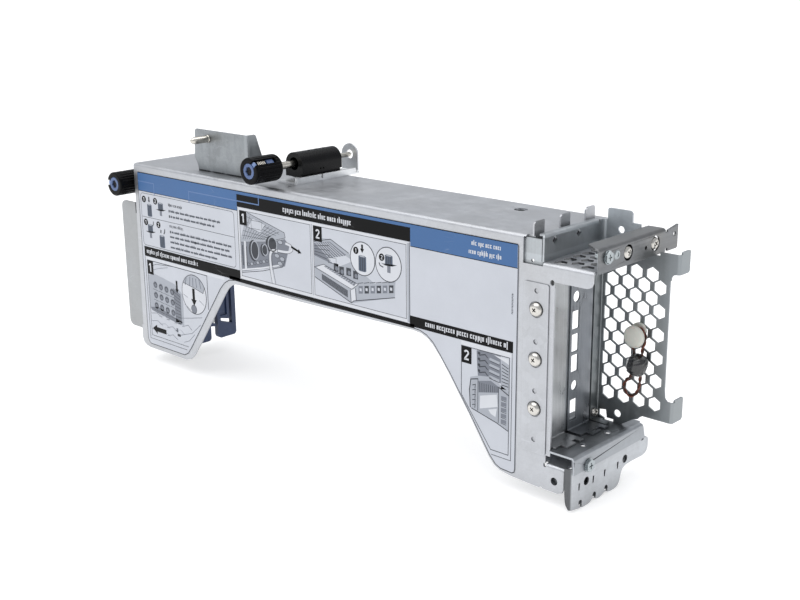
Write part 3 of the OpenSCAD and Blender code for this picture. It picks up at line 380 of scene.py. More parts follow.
# painted shade: the punched panel's base is set darker, standing in for the shade it lies in
M["panel"] = steel("punched_panel", "#8C9194", rough=0.42, mottle=0.08, spangle=0.04, grain=(600, 600, 18), grain_amt=0.05, crev=0.3, shade=shade_panel)
M["rail"] = steel("rail_sheet", "#787A7D", rough=0.36, mottle=0.09, spangle=0.07, grain=(900, 12, 900), grain_amt=0.13, tint=0.12, wear=0.6)
M["channel"] = steel("channel_sheet", "#B0B4B9", rough=0.40, mottle=0.08, spangle=0.05, grain=(600, 18, 600), grain_amt=0.05, crev=0.6, shade=shade_floor)
M["hook"] = steel("hook_sheet", "#BABDC1", rough=0.38, mottle=0.08, spangle=0.05, grain=(600, 18, 600), grain_amt=0.05, crev=0.35, shade=shade_hook)
M["nickel"] = steel("nickel_screw", "#CFCCC6", rough=0.20, spread=0.08, mottle=0.05, spangle=0.0, grain=(900, 900, 900), scratch=0.8, wear=0.5, metallic=1.0)
M["hardware"] = steel("zinc_hardware", "#A9B0B3", rough=0.30, spread=0.10, mottle=0.06, spangle=0.02, grain=(900, 900, 900), metallic=1.0)
M["turned"] = steel("turned_steel", "#CFCBC2", rough=0.20, spread=0.06, mottle=0.04, spangle=0.0, grain=(60, 2600, 60), grain_amt=0.10, metallic=1.0, bump=0.00002)
M["black"] = plastic("black_nylon", "#060607", rough=0.30, light="#1e1e20", wear=0.25, spec=0.10)
# painted shade: a near-black disc that stands in the knob ring's hole
M["core"] = plastic("dark_core", "#070B14", rough=0.4, light="#182030", wear=0.2, spec=0.2)
M["sleeve"] = plastic("black_sleeve", "#050507", rough=0.30, light="#26272a", wear=0.25, spec=0.18)
M["blue"] = plastic("blue_insert", "#4D628C", rough=0.34, light="#A8B8D4", wear=0.4, spec=0.5)
# painted highlight: a paler copy of the blue insert, used for the ring's ear by the slot
M["ear"] = plastic("blue_insert_painted_highlight", "#7088B4", rough=0.3, light="#C6D2E6", wear=0.4, spec=0.5)
M["navy"] = plastic("navy_clip", "#223456", rough=0.36, light="#5d6d90", wear=0.35, spec=0.5)
M["nylon"] = plastic("natural_nylon", "#C9C8BF", rough=0.45, light="#F0EFE8", wear=0.3, mottle=0.05, sss=0.12)
# the bead's edges and rib crests are painted pale by strong edge wear: partly wear, partly painted highlight
M["bead"] = plastic("charcoal_bead", "#121315", rough=0.26, light="#b4b5b8", wear=0.9, coat=0.8, spec=0.5)
M["wire"] = plastic("brown_wire", "#3A2015", rough=0.42, grain=2400, light="#A0705A", wear=0.2, bump=0.00003)
M["wire2"] = plastic("red_brown_wire", "#6A3626", rough=0.42, grain=2400, light="#C09078", wear=0.2, bump=0.00003)
M["film"] = printed("label_film", "#BFC2C9")
M["p_blue"] = printed("print_blue", "#446795")
M["p_black"] = printed("print_black", "#0A0A0B", spec=0.12)
M["p_white"] = printed("print_white", "#CBCDD2")
M["p_line"] = printed("print_line", "#383B41")
M["p_light"] = printed("print_light", "#A2A6AE")
M["p_mid"] = printed("print_mid", "#757982")
M["p_dark"] = printed("print_dark", "#3A3D43")
M["p_text"] = printed("print_text", "#52565E")
M["p_lead"] = printed("print_leader", "#5E79A4")
M["p_icon"] = printed("print_icon", "#4E5868")
M["p_gap"] = printed("print_edge", "#34373D")

# ------------------------------------------------- the CAD nodes get soft edges
gn = bpy.data.node_groups.new("soft_edges", "GeometryNodeTree")
gn.interface.new_socket("Geometry", in_out="INPUT", socket_type="NodeSocketGeometry")
gn.interface.new_socket("Geometry", in_out="OUTPUT", socket_type="NodeSocketGeometry")
g_in, g_out = gn.nodes.new("NodeGroupInput"), gn.nodes.new("NodeGroupOutput")
rem = gn.nodes.new("GeometryNodeRemoveAttribute")
rem.inputs["Name"].default_value = "custom_normal"
mrg = gn.nodes.new("GeometryNodeMergeByDistance")
mrg.inputs["Distance"].default_value = 0.000002
sf = gn.nodes.new("GeometryNodeSetShadeSmooth")
sf.domain = "FACE"
se = gn.nodes.new("GeometryNodeSetShadeSmooth")
se.domain = "EDGE"
ea = gn.nodes.new("GeometryNodeInputMeshEdgeAngle")
cmp_ = gn.nodes.new("FunctionNodeCompare")
cmp_.operation = "GREATER_THAN"
cmp_.inputs[1].default_value = math.radians(28)
gn.links.new(g_in.outputs[0], rem.inputs["Geometry"])
gn.links.new(rem.outputs[0], mrg.inputs["Geometry"])
gn.links.new(mrg.outputs[0], sf.inputs["Geometry"])
sf.inputs["Shade Smooth"].default_value = True
gn.links.new(sf.outputs[0], se.inputs["Geometry"])
gn.links.new(ea.outputs["Unsigned Angle"], cmp_.inputs[0])
gn.links.new(cmp_.outputs[0], se.inputs["Selection"])
se.inputs["Shade Smooth"].default_value = False
gn.links.new(se.outputs[0], g_out.inputs[0])


def dress(node, mat, width=0.16, seg=2, angle=32):
    o = nodes[node]
    if not o.material_slots:
        o.data.materials.append(mat)
    for s in o.material_slots:
        s.material = mat
    md = o.modifiers.new("soft_edges", "NODES")
    md.node_group = gn
    if width:
        bv = o.modifiers.new("bevel", "BEVEL")
        bv.width, bv.segments = width / 1000, seg
        bv.limit_method, bv.angle_limit = "ANGLE", math.radians(angle)
        bv.harden_normals = True
        bv.use_clamp_overlap = True


for n, k, w in [("cage_shell", "cage", 0.16), ("instruction_label", "film", 0.05), ("left_end_bracket", "bracket", 0.16),
                ("window_frame", "frame", 0.16), ("front_strip", "strip", 0.14), ("slot_cover_plain", "cover2", 0.14),
                ("slot_cover_vented", "cover", 0.14), ("hex_side_panel", "panel", 0.12), ("side_panel_screw", "nickel", 0.1),
                ("retention_rail", "rail", 0.16), ("rail_nut_bar", "hardware", 0.15), ("rail_rivet", "hardware", 0.12),
                ("rail_end_screw", "hardware", 0.14), ("hook_channel", "channel", 0.16), ("hook_plate", "hook", 0.16),
                ("hook_screw", "hardware", 0.14), ("guide_tab", "tab", 0.16), ("guide_pin", "turned", 0.12),
                ("sleeve_bracket", "carrier", 0.16), ("bracket_rivets", "nickel", 0.12), ("guide_sleeve", "sleeve", 0.25),
                ("knob_a_shaft", "turned", 0.15), ("knob_a_washer", "hardware", 0.12), ("knob_b_shaft", "turned", 0.15),
                ("knob_b_washer", "hardware", 0.12), ("card_clip_front", "navy", 0.3), ("card_clip_rear", "navy", 0.3),
                ("nylon_button", "nylon", 0.2), ("strip_screws", "nickel", 0.1), ("rail_screws", "nickel", 0.1),
                ("knob_a_barrel", "black", 0), ("knob_b_barrel", "black", 0), ("knob_a_insert", "blue", 0),
                ("knob_b_insert", "blue", 0), ("toggle_bead", "bead", 0), ("wire_loop", "wire", 0)]:
    dress(n, M[k], w)


# -------------------------------------------------------------- mesh helpers
def piece(name, verts, faces, mat, body, stands_for=(), smooth=28, bevel=0, seg=2):
    me = bpy.data.meshes.new(name)
    me.from_pydata([tuple(v) for v in verts], [], faces)
    me.validate()
    bm = bmesh.new()
    bm.from_mesh(me)
    bmesh.ops.recalc_face_normals(bm, faces=bm.faces)
    for f in bm.faces:
        f.smooth = bool(smooth)
    if smooth:
        for e in bm.edges:
            if len(e.link_faces) == 2 and e.calc_face_angle(0) > math.radians(smooth):
                e.smooth = False
    bm.to_mesh(me)
    bm.free()
    me.materials.append(mat)
    o = bpy.data.objects.new(name, me)
    scene.collection.objects.link(o)
    if bevel:
        bv = o.modifiers.new("bevel", "BEVEL")
        bv.width, bv.segments = bevel / 1000, seg
        bv.limit_method, bv.angle_limit = "ANGLE", math.radians(35)
        bv.harden_normals = bool(smooth)
    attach(o, body)
    if stands_for:
        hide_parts(*stands_for)
    return o


def temp(name, verts, faces):
    me = bpy.data.meshes.new(name)
    me.from_pydata([tuple(v) for v in verts], [], faces)
    bm = bmesh.new()
    bm.from_mesh(me)
    bmesh.ops.recalc_face_normals(bm, faces=bm.faces)
    bm.to_mesh(me)
    bm.free()
    o = bpy.data.objects.new(name, me)
    scene.collection.objects.link(o)
    return o


def carve(solid, cutters, op="DIFFERENCE"):
    """Vertices and faces of a solid with cutters taken away; all of them are (verts, faces)."""
    base = temp("tmp_base", *solid)
    tmp = []
    for c in cutters:
        k = temp("tmp_cut", *c)
        tmp.append(k)
        md = base.modifiers.new("b", "BOOLEAN")
        md.operation, md.solver, md.object = op, "EXACT", k
    dg = bpy.context.evaluated_depsgraph_get()
    me = base.evaluated_get(dg).to_mesh()
    out = ([v.co.copy() for v in me.vertices], [tuple(p.vertices) for p in me.polygons])
    base.evaluated_get(dg).to_mesh_clear()
    for o in tmp + [base]:
        d = o.data
        bpy.data.objects.remove(o)
        bpy.data.meshes.remove(d)
    return out


def join(*parts):
    vs, fs = [], []
    for v, f in parts:
        b = len(vs)
        vs += list(v)
        fs += [tuple(i + b for i in x) for x in f]
    return vs, fs


def lathe(profile, place, n=64, radial=None):
    """Revolves (radius, height) points. place(r, a, h) gives a point; a closed profile starts and ends on the axis."""
    vs, fs, rows = [], [], []
    for r, h in profile:
        if r <= 1e-9:
            rows.append([len(vs)])
            vs.append(place(0, 0, h))
        else:
            rows.append(list(range(len(vs), len(vs) + n)))
            for i in range(n):
                a = 2 * math.pi * i / n
                rr = r if radial is None else radial(r, a, h)
                vs.append(place(rr, a, h))
    for a, b in zip(rows, rows[1:]):
        for i in range(n):
            j = (i + 1) % n
            if len(a) == 1 and len(b) == 1:
                continue
            if len(a) == 1:
                fs.append((a[0], b[i], b[j]))
            elif len(b) == 1:
                fs.append((a[i], b[0], a[j]))
            else:
                fs.append((a[i], b[i], b[j], a[j]))
    return vs, fs


def along_y(cx, y0, cz):
    """Lathe placement with the axis along +Y, height running to +Y."""
    return lambda r, a, h: P(cx + r * math.cos(a), y0 + h, cz + r * math.sin(a))


def along_x(x0, cy, cz):
    return lambda r, a, h: P(x0 + h, cy + r * math.cos(a), cz + r * math.sin(a))


def box_mm(c, ax, size):
    """A box with centre c (mm), axes ax (three unit vectors) and full sizes."""
    vs = []
    for i in (-0.5, 0.5):
        for j in (-0.5, 0.5):
            for k in (-0.5, 0.5):
                q = Vector(c) + Vector(ax[0]) * size[0] * i + Vector(ax[1]) * size[1] * j + Vector(ax[2]) * size[2] * k
                vs.append(P(*q))
    fs = [(0, 1, 3, 2), (4, 6, 7, 5), (0, 4, 5, 1), (2, 3, 7, 6), (0, 2, 6, 4), (1, 5, 7, 3)]
    return vs, fs


def tube(points, radius, n=12, closed=False, twist=None):
    """A round tube along points (mm); twist=(offset, pitch, phase) winds it round the line."""
    pts = [Vector(p) for p in points]
    m = len(pts)
    tang = []
    for i in range(m):
        a = pts[(i - 1) % m] if closed or i else pts[i]
        b = pts[(i + 1) % m] if closed or i < m - 1 else pts[i]
        tang.append((b - a).normalized())
    u = tang[0].orthogonal().normalized()
    us, s, acc = [], [0.0], 0.0
    for i in range(m):
        u = (u - tang[i] * u.dot(tang[i])).normalized()
        us.append(u)
        if i:
            acc += (pts[i] - pts[i - 1]).length
            s.append(acc)
    total = acc + ((pts[0] - pts[-1]).length if closed else 0)
    # spread the frame's closing error over the loop
    err = 0.0
    if closed:
        u2 = (us[-1] - tang[0] * us[-1].dot(tang[0])).normalized()
        v0 = tang[0].cross(us[0])
        err = math.atan2(u2.dot(v0), u2.dot(us[0]))
    frames = []
    for i in range(m):
        v = tang[i].cross(us[i])
        k = -err * s[i] / total if closed else 0
        frames.append((us[i] * math.cos(k) + v * math.sin(k), v * math.cos(k) - us[i] * math.sin(k)))
    if twist:
        off, turns, ph = twist
        cen = []
        for i in range(m):
            a = ph + 2 * math.pi * turns * s[i] / total
            cen.append(pts[i] + off * (frames[i][0] * math.cos(a) + frames[i][1] * math.sin(a)))
        return tube(cen, radius, n, closed)
    vs, fs = [], []
    for i in range(m):
        for k in range(n):
            a = 2 * math.pi * k / n
            q = pts[i] + radius * (frames[i][0] * math.cos(a) + frames[i][1] * math.sin(a))
            vs.append(P(*q))
    for i in range(m if closed else m - 1):
        for k in range(n):
            j = (i + 1) % m
            fs.append((i * n + k, i * n + (k + 1) % n, j * n + (k + 1) % n, j * n + k))
    if not closed:
        fs.append(tuple(range(n)))
        fs.append(tuple(range((m - 1) * n, m * n)))
    return vs, fs


def smooth_loop(pts, per=10, closed=True):
    """Catmull-Rom through the points."""
    p = [Vector(q) for q in pts]
    n, out = len(p), []
    rg = range(n) if closed else range(n - 1)
    for i in rg:
        a, b = p[(i - 1) % n] if closed or i else p[i], p[i]
        c = p[(i + 1) % n]
        d = p[(i + 2) % n] if closed or i < n - 2 else c
        for k in range(per):
            t = k / per
            out.append(0.5 * ((2 * b) + (c - a) * t + (2 * a - 5 * b + 4 * c - d) * t * t + (3 * b - a - 3 * c + d) * t ** 3))
    if not closed:
        out.append(p[-1])
    return out


# ---------------------------------------------------------------- label print
LABEL_Y = -0.2


class Art:
    def __init__(self):
        self.parts = {}

    def add(self, ink, poly, lvl):
        self.parts.setdefault(ink, []).append((list(poly), lvl))

    def rect(self, ink, x0, z0, x1, z1, lvl):
        self.add(ink, [(x0, z0), (x1, z0), (x1, z1), (x0, z1)], lvl)

    def ell(self, ink, cx, cz, rx, rz, lvl, n=32):
        self.add(ink, [(cx + rx * math.cos(2 * math.pi * i / n), cz + rz * math.sin(2 * math.pi * i / n)) for i in range(n)], lvl)

    def stroke(self, ink, pts, w, lvl, closed=False):
        m = len(pts)
        q = [Vector(p) for p in pts]
        L, R = [], []
        for i in range(m):
            d = []
            if closed or i > 0:
                d.append((q[i] - q[i - 1]).normalized())
            if closed or i < m - 1:
                d.append((q[(i + 1) % m] - q[i]).normalized())
            nrm = sum((Vector((-e.y, e.x)) for e in d), Vector((0, 0)))
            nrm.normalize()
            k = 1 / max(0.35, nrm.dot(Vector((-d[0].y, d[0].x))))
            L.append(q[i] + nrm * w / 2 * k)
            R.append(q[i] - nrm * w / 2 * k)
        for i in range(m if closed else m - 1):
            j = (i + 1) % m
            self.add(ink, [tuple(R[i]), tuple(R[j]), tuple(L[j]), tuple(L[i])], lvl)

    def ring(self, ink, cx, cz, r, w, lvl, n=44, rz=None):
        rz = rz or r
        self.stroke(ink, [(cx + r * math.cos(2 * math.pi * i / n), cz + rz * math.sin(2 * math.pi * i / n)) for i in range(n)], w, lvl, True)

    def frame(self, ink, x0, z0, x1, z1, w, lvl, r=0.0):
        if r:
            pts = []
            for cx, cz, a0 in ((x1 - r, z1 - r, 0), (x0 + r, z1 - r, 90), (x0 + r, z0 + r, 180), (x1 - r, z0 + r, 270)):
                pts += [(cx + r * math.cos(math.radians(a0 + k * 22.5)), cz + r * math.sin(math.radians(a0 + k * 22.5))) for k in range(5)]
        else:
            pts = [(x0, z0), (x1, z0), (x1, z1), (x0, z1)]
        self.stroke(ink, pts, w, lvl, True)

    def marks(self, ink, x0, x1, z, h, lvl, bold=0.24, seed=0, word=(3, 8)):
        """Stand-in for a line of lettering: groups of upright strokes and small blocks that say nothing."""
        r = random.Random(seed)
        x = x0
        left = r.randint(*word)
        while x < x1 - h * 0.5:
            w = h * r.choice((0.3, 0.5, 0.5, 0.62))
            up = h * r.choice((1.0, 1.0, 1.0, 1.45))
            dn = h * r.choice((0, 0, 0, 0, 0.38))
            b = h * bold
            if w < h * 0.4:
                self.rect(ink, x, z - dn, x + b, z + up, lvl)
                w = b
            elif r.random() < 0.5:
                self.rect(ink, x, z - dn, x + b, z + up, lvl)
                self.rect(ink, x + w - b, z, x + w, z + h, lvl)
                self.rect(ink, x + b * 0.9, z + h - b, x + w - b * 0.9, z + h, lvl)
            else:
                self.rect(ink, x, z, x + b, z + h, lvl)
                self.rect(ink, x + b * 0.9, z, x + w, z + b, lvl)
                self.rect(ink, x + b * 0.9, z + h - b, x + w, z + h, lvl)
            x += w + h * 0.22
            left -= 1
            if left <= 0:
                x += h * 0.42
                left = r.randint(*word)

    def grey_line(self, x0, x1, z, h, lvl, seed=0, ink="p_text"):
        r = random.Random(seed)
        x = x0
        while x < x1 - 0.6:
            w = min(r.uniform(1.6, 6.2), x1 - x)
            self.rect(ink, x, z - h * 0.42, x + w, z + h * 0.42, lvl)
            k = x + r.uniform(0.3, 0.9)
            while k < x + w - 0.3:
                if r.random() < 0.5:
                    self.rect(ink, k, z + h * 0.4, k + 0.3, z + h * 0.85, lvl)
                elif r.random() < 0.25:
                    self.rect(ink, k, z - h * 0.8, k + 0.3, z - h * 0.4, lvl)
                k += r.uniform(0.7, 1.6)
            x += w + r.uniform(0.5, 0.8)

    def arrow(self, ink, tail, tip, w, head, hw, lvl):
        a, b = Vector(tail), Vector(tip)
        d = (b - a).normalized()
        n = Vector((-d.y, d.x))
        k = b - d * head
        self.add(ink, [tuple(a + n * w / 2), tuple(k + n * w / 2), tuple(k + n * hw / 2), tuple(b), tuple(k - n * hw / 2),
                       tuple(k - n * w / 2), tuple(a - n * w / 2)], lvl)

    def one(self, ink, cx, cz, h, lvl):
        self.rect(ink, cx - h * 0.06, cz - h / 2, cx + h * 0.14, cz + h / 2, lvl)
        self.add(ink, [(cx - h * 0.06, cz + h * 0.5), (cx - h * 0.06, cz + h * 0.26), (cx - h * 0.24, cz + h * 0.2), (cx - h * 0.24, cz + h * 0.36)], lvl)

    def two(self, ink, cx, cz, h, lvl):
        pts = [(cx + h * 0.22 * math.cos(math.radians(a)), cz + h * 0.22 + h * 0.2 * math.sin(math.radians(a))) for a in range(170, -50, -20)]
        pts += [(cx - h * 0.2, cz - h * 0.38)]
        self.stroke(ink, pts, h * 0.17, lvl)
        self.rect(ink, cx - h * 0.27, cz - h * 0.5, cx + h * 0.28, cz - h * 0.33, lvl)

    def dot(self, n, cx, cz, r, lvl):
        self.ell("p_black", cx, cz, r, r, lvl, 28)
        (self.one if n == 1 else self.two)("p_white", cx, cz, r * 1.15, lvl + 1)

    def tag(self, n, x0, z0, x1, z1, lvl):
        self.rect("p_black", x0, z0, x1, z1, lvl)
        (self.one if n == 1 else self.two)("p_white", (x0 + x1) / 2, (z0 + z1) / 2, (z1 - z0) * 0.62, lvl + 1)

    def knob(self, cx, cz, w, h, lvl, raised=False):
        """Simple drawing of a thumbscrew, with or without its stem showing."""
        if raised:
            self.rect("p_mid", cx - w * 0.22, cz - h * 1.15, cx + w * 0.22, cz - h * 0.45, lvl)
            self.add("p_dark", [(cx - w * 1.0, cz - h * 0.42), (cx - w * 0.4, cz - h * 0.55), (cx + w * 0.5, cz - h * 0.5),
                                (cx + w * 1.05, cz - h * 0.3), (cx + w * 0.4, cz - h * 0.32)], lvl + 1)
        self.add("p_icon", [(cx - w / 2, cz - h / 2 + 0.4), (cx - w * 0.3, cz - h / 2), (cx + w * 0.3, cz - h / 2), (cx + w / 2, cz - h / 2 + 0.4),
                            (cx + w / 2, cz + h / 2 - 0.5), (cx + w * 0.25, cz + h / 2), (cx - w * 0.25, cz + h / 2), (cx - w / 2, cz + h / 2 - 0.5)], lvl + 1)
        for k in (-0.32, -0.05, 0.2):
            self.rect("p_dark", cx + w * k, cz - h / 2 + 0.5, cx + w * (k + 0.1), cz + h / 2 - 0.9, lvl + 2)
        self.add("p_light", [(cx - w * 0.25, cz + h / 2 - 0.15), (cx + w * 0.25, cz + h / 2 - 0.15), (cx + w * 0.35, cz + h / 2 - 0.8),
                             (cx - w * 0.35, cz + h / 2 - 0.8)], lvl + 2)

    def build(self):
        for ink, polys in sorted(self.parts.items()):
            vs, fs = [], []
            for poly, lvl in polys:
                y0 = LABEL_Y - 0.012 * lvl
                b, n = len(vs), len(poly)
                vs += [P(x, y0, z) for x, z in poly] + [P(x, LABEL_Y + 0.004, z) for x, z in poly]
                fs.append(tuple(range(b, b + n)))
                fs.append(tuple(range(b + 2 * n - 1, b + n - 1, -1)))
                for i in range(n):
                    j = (i + 1) % n
                    fs.append((b + i, b + n + i, b + n + j, b + j))
            piece("label_" + ink, vs, fs, M[ink], "cage", smooth=0)


A = Art()
X_L = -296.5
edge = [(X_L + 3.9, -2.2), (X_L + 3.6, -3), (X_L + 3.2, -108.6), (X_L + 4.6, -110.8), (X_L + 6.4, -111.6), (-256, -111.6),
        (-252.2, -109.6), (-248.4, -105), (-217.4, -62.2), (-213.6, -58.4), (-209.4, -56), (-204, -55.2), (-150, -55.6),
        (-100, -55.2), (-68, -54.9), (-62.4, -55.3), (-58, -56.8), (-54, -59.6), (-49.2, -65.2), (-43, -73), (-30.4, -90.4),
        (-18.2, -108.2), (-14.4, -112.2), (-11.2, -113.5), (-4.4, -113.9), (-3, -113.1), (-2.6, -111.4), (-2.6, -3), (-3.4, -2.2)]


def inset(poly, d):
    out, m = [], len(poly)
    for i in range(m):
        a, b, c = Vector(poly[i - 1]), Vector(poly[i]), Vector(poly[(i + 1) % m])
        e1, e2 = (b - a).normalized(), (c - b).normalized()
        n = Vector((-e1.y, e1.x)) + Vector((-e2.y, e2.x))
        n.normalize()
        k = 1 / max(0.5, n.dot(Vector((-e1.y, e1.x))))
        out.append(tuple(b + n * d * k))
    return out


A.stroke("p_gap", inset(edge, 0.24), 0.44, 1, True)
# blue band and its outlines
A.rect("p_blue", -292.6, -13.6, -199.2, -2.7, 2)
A.rect("p_blue", -199.2, -4.4, -68.4, -2.7, 2)
A.rect("p_blue", -68.4, -13.4, -3.2, -2.7, 2)
A.stroke("p_black", [(-292.6, -13.7), (-199.2, -13.7)], 0.3, 3)
A.stroke("p_black", [(-68.4, -13.5), (-3.0, -13.5)], 0.35, 3)
A.stroke("p_black", [(-292.5, -2.55), (-3.2, -2.55)], 0.3, 3)
# leaders from the thumbscrews to the text box
for pts in ([(-292.6, -7.9), (-276.7, -7.9), (-276.7, -14.9)], [(-242.7, -14.9), (-242.7, -8.3), (-180.5, -8.1), (-180.5, -2.8)]):
    A.stroke("p_lead", pts, 0.62, 5)
# headers
A.rect("p_black", -199.2, -11.4, -68.4, -4.3, 4)
A.rect("p_black", -290.6, -54.4, -199.2, -48.2, 4)
A.rect("p_black", -209, -54.95, -66, -52.9, 4)
A.rect("p_black", -68.9, -54.2, -4.9, -48.7, 4)
A.marks("p_white", -160.8, -107.3, -9.1, 2.15, 5, 0.28, 11)
A.marks("p_white", -288.3, -236.9, -52.3, 2.0, 5, 0.28, 12)
A.marks("p_white", -58.8, -6.9, -52.3, 2.05, 5, 0.28, 13)
A.marks("p_white", -30.0, -12.4, -6.8, 1.65, 5, 0.27, 14)
A.marks("p_white", -31.6, -12.4, -11.0, 1.65, 5, 0.27, 15)
# text box with four numbered steps
A.frame("p_line", -290.9, -47.3, -202.4, -14.9, 0.26, 2, 2.2)
A.stroke("p_line", [(-290.9, -29.5), (-202.4, -29.5)], 0.26, 2)
for n, x, z in ((1, -287.7, -18.6), (2, -276.3, -18.5), (1, -287.1, -32.7), (2, -274.5, -32.7)):
    A.dot(n, x, z, 2.05, 3)
A.knob(-282.5, -24.9, 4.4, 7.8, 3)
A.arrow("p_dark", (-282.6, -16.6), (-282.6, -20.2), 1.1, 1.4, 2.3, 3)
A.knob(-271.2, -21.2, 4.9, 4.9, 3, True)
A.knob(-282.9, -36.2, 4.9, 5.2, 3, True)
A.stroke("p_dark", [(-280.4, -34.4), (-279.7, -33.2), (-279.4, -31.4)], 0.7, 3)
A.knob(-271.5, -42.7, 5.0, 7.8, 3)
A.stroke("p_dark", [(-272.6, -37.6), (-272.2, -35.6)], 1.0, 3)
A.stroke("p_dark", [(-269.6, -37.8), (-268.6, -36.4), (-268.4, -34.6)], 0.8, 3)
A.marks("p_dark", -263.4, -250, -19.8, 1.3, 3, 0.26, 21)
A.marks("p_dark", -263.4, -249.6, -32.6, 1.3, 3, 0.26, 22)
for i, (x1, z) in enumerate(((-215, -22.8), (-220.4, -26.0), (-205.8, -35.5), (-207.7, -38.5), (-205.8, -41.7), (-218.1, -44.9))):
    A.grey_line(-263.4 if i in (3, 4, 5) else -261.6, x1, z, 1.25, 3, 30 + i)
A.rect("p_dark", -263.3, -23.5, -262.2, -22.0, 3)
A.rect("p_dark", -263.3, -26.8, -262.2, -25.2, 3)
A.rect("p_dark", -263.3, -36.2, -262.2, -34.7, 3)
A.rect("p_dark", -239.8, -39.3, -238.3, -37.8, 3)

# the two middle panels
A.rect("p_white", -198.9, -52.6, -68.9, -11.7, 2)
A.stroke("p_line", [(-199.0, -52.6), (-199.0, -11.7)], 0.3, 5)
A.rect("p_light", -70.6, -52.4, -69.0, -12.2, 3)
A.stroke("p_line", [(-69.0, -52.6), (-69.0, -11.7)], 0.35, 5)
for x0, x1 in ((-197.3, -139.7), (-137.3, -71.2)):
    A.rect("film", x0, -50.9, x1, -13.2, 3)
    A.frame("p_line", x0, -50.9, x1, -13.2, 0.24, 6)
A.stroke("p_light", [(-138.6, -51.5), (-138.6, -12.6)], 0.7, 3)


def slats(a, b, c, d, n, w, ink, lvl):
    """n strokes shared out between edge a-b and edge d-c."""
    for i in range(n):
        t = (i + 0.5) / n
        A.stroke(ink, [(a[0] + (b[0] - a[0]) * t, a[1] + (b[1] - a[1]) * t), (d[0] + (c[0] - d[0]) * t, d[1] + (c[1] - d[1]) * t)], w, lvl)


# panel 1: the open back of a plain chassis with two fans and leads
top = [(-197, -29.0), (-190.6, -13.6), (-160.2, -20.6), (-159.6, -23.4), (-176.2, -28.2), (-197, -31.4)]
A.add("p_light", top, 4)
A.stroke("p_dark", [(-197, -31.4), (-176.2, -28.2), (-159.6, -23.4), (-160.2, -20.6), (-190.6, -13.6)], 0.28, 6)
slats((-189.6, -15), (-163, -21), (-178, -27), (-196, -29.6), 10, 0.22, "p_line", 5)
slats((-190.6, -14.6), (-196.6, -28.6), (-177, -27.4), (-163, -21.6), 5, 0.2, "p_line", 5)
A.add("film", [(-186, -16.4), (-176, -18.6), (-180, -23.4), (-190, -21.6)], 6)
A.frame("p_line", -187.5, -22, -178.5, -17.5, 0.2, 7)
A.add("p_mid", [(-197, -31.6), (-176, -28.4), (-160, -24), (-156.4, -27.4), (-160.6, -39.4), (-197, -48.4)], 4)
A.stroke("p_dark", [(-197, -49), (-179, -45), (-162.4, -40), (-160.4, -36)], 0.35, 6)
A.stroke("p_white", [(-197, -47.4), (-180, -43.6), (-163, -39)], 0.9, 5)
for cx, cz, rx, rz in ((-186.4, -34.6, 4.0, 6.0), (-171.4, -28.8, 4.4, 4.6), (-177.8, -33.0, 2.8, 3.6)):
    A.ell("p_dark", cx, cz, rx, rz, 6)
    A.ring("p_light", cx + 1.2, cz + 0.3, rx * 0.8, 0.6, 7, 28, rz * 0.86)
    A.ring("p_line", cx + 0.4, cz, rx * 0.5, 0.3, 7, 24, rz * 0.5)
for i in range(7):
    A.ell("p_light" if i % 2 else "p_mid", -191 + 2.6 * i, -43.3 + 0.75 * i, 1.1, 0.9, 6, 14)
    A.ring("p_line", -191 + 2.6 * i, -43.3 + 0.75 * i, 1.1, 0.2, 7, 14, 0.9)
for x in (-196.2, -194.6, -192.9):
    A.rect("p_dark", x, -44.5, x + 0.7, -33.0, 6)
A.rect("p_white", -194.4, -46.3, -192.8, -30.4, 7)
A.stroke("p_white", smooth_loop([(-166, -31.5), (-158, -31.0), (-154.6, -29.4), (-155.6, -27.2), (-159.6, -26.4)], 6, False), 1.3, 7)
A.stroke("p_line", smooth_loop([(-166, -32.3), (-157.6, -31.8), (-153.8, -29.4), (-155, -26.6), (-159.6, -25.6)], 6, False), 0.22, 8)
A.stroke("p_white", smooth_loop([(-166.6, -31.8), (-170.4, -32.2), (-172.4, -35), (-172.2, -42), (-170.6, -50.6)], 6, False), 1.6, 7)
A.stroke("p_line", smooth_loop([(-166.6, -30.9), (-171, -31.3), (-173.4, -35), (-173.2, -42), (-171.6, -50.7)], 6, False), 0.22, 8)
A.stroke("p_line", smooth_loop([(-168.4, -33.2), (-170.4, -33.8), (-171.2, -36), (-170.6, -42), (-168.6, -50.7)], 6, False), 0.22, 8)
for cx, cz in ((-163.8, -26.4), (-166.8, -34.4), (-162.6, -35.6), (-164.6, -38.4)):
    A.ell("p_light", cx, cz, 1.9, 1.2, 7, 20)
    A.ring("p_dark", cx, cz, 1.9, 0.25, 8, 20, 1.2)
A.arrow("p_black", (-155.0, -27.5), (-147.0, -29.9), 1.2, 2.6, 2.6, 8)

# panel 2: a plain chassis with its lid off, and two round insets
A.add("p_light", [(-137, -19.5), (-124.4, -18.6), (-110.5, -24.4), (-101, -33), (-93, -36.8), (-78.5, -33.0), (-79, -41.6), (-109.8, -50.3), (-137, -40.6)], 4)
A.add("p_mid", [(-137, -22.6), (-125, -20.0), (-113, -25.2), (-124, -31.6), (-137, -29.2)], 5)
slats((-136.6, -22.4), (-125, -20.4), (-114, -25.4), (-124, -31), 7, 0.32, "film", 6)
slats((-136.8, -23.4), (-136.8, -29), (-124.6, -31.4), (-125.4, -20.8), 4, 0.3, "p_dark", 7)
A.stroke("p_dark", [(-137, -21.8), (-124.4, -18.6), (-111, -24)], 0.35, 7)
A.add("film", [(-127.5, -29.6), (-113.5, -25.6), (-108, -27.6), (-119, -32.6)], 7)
A.frame("p_line", -126.4, -31.4, -120.4, -28.4, 0.2, 8)
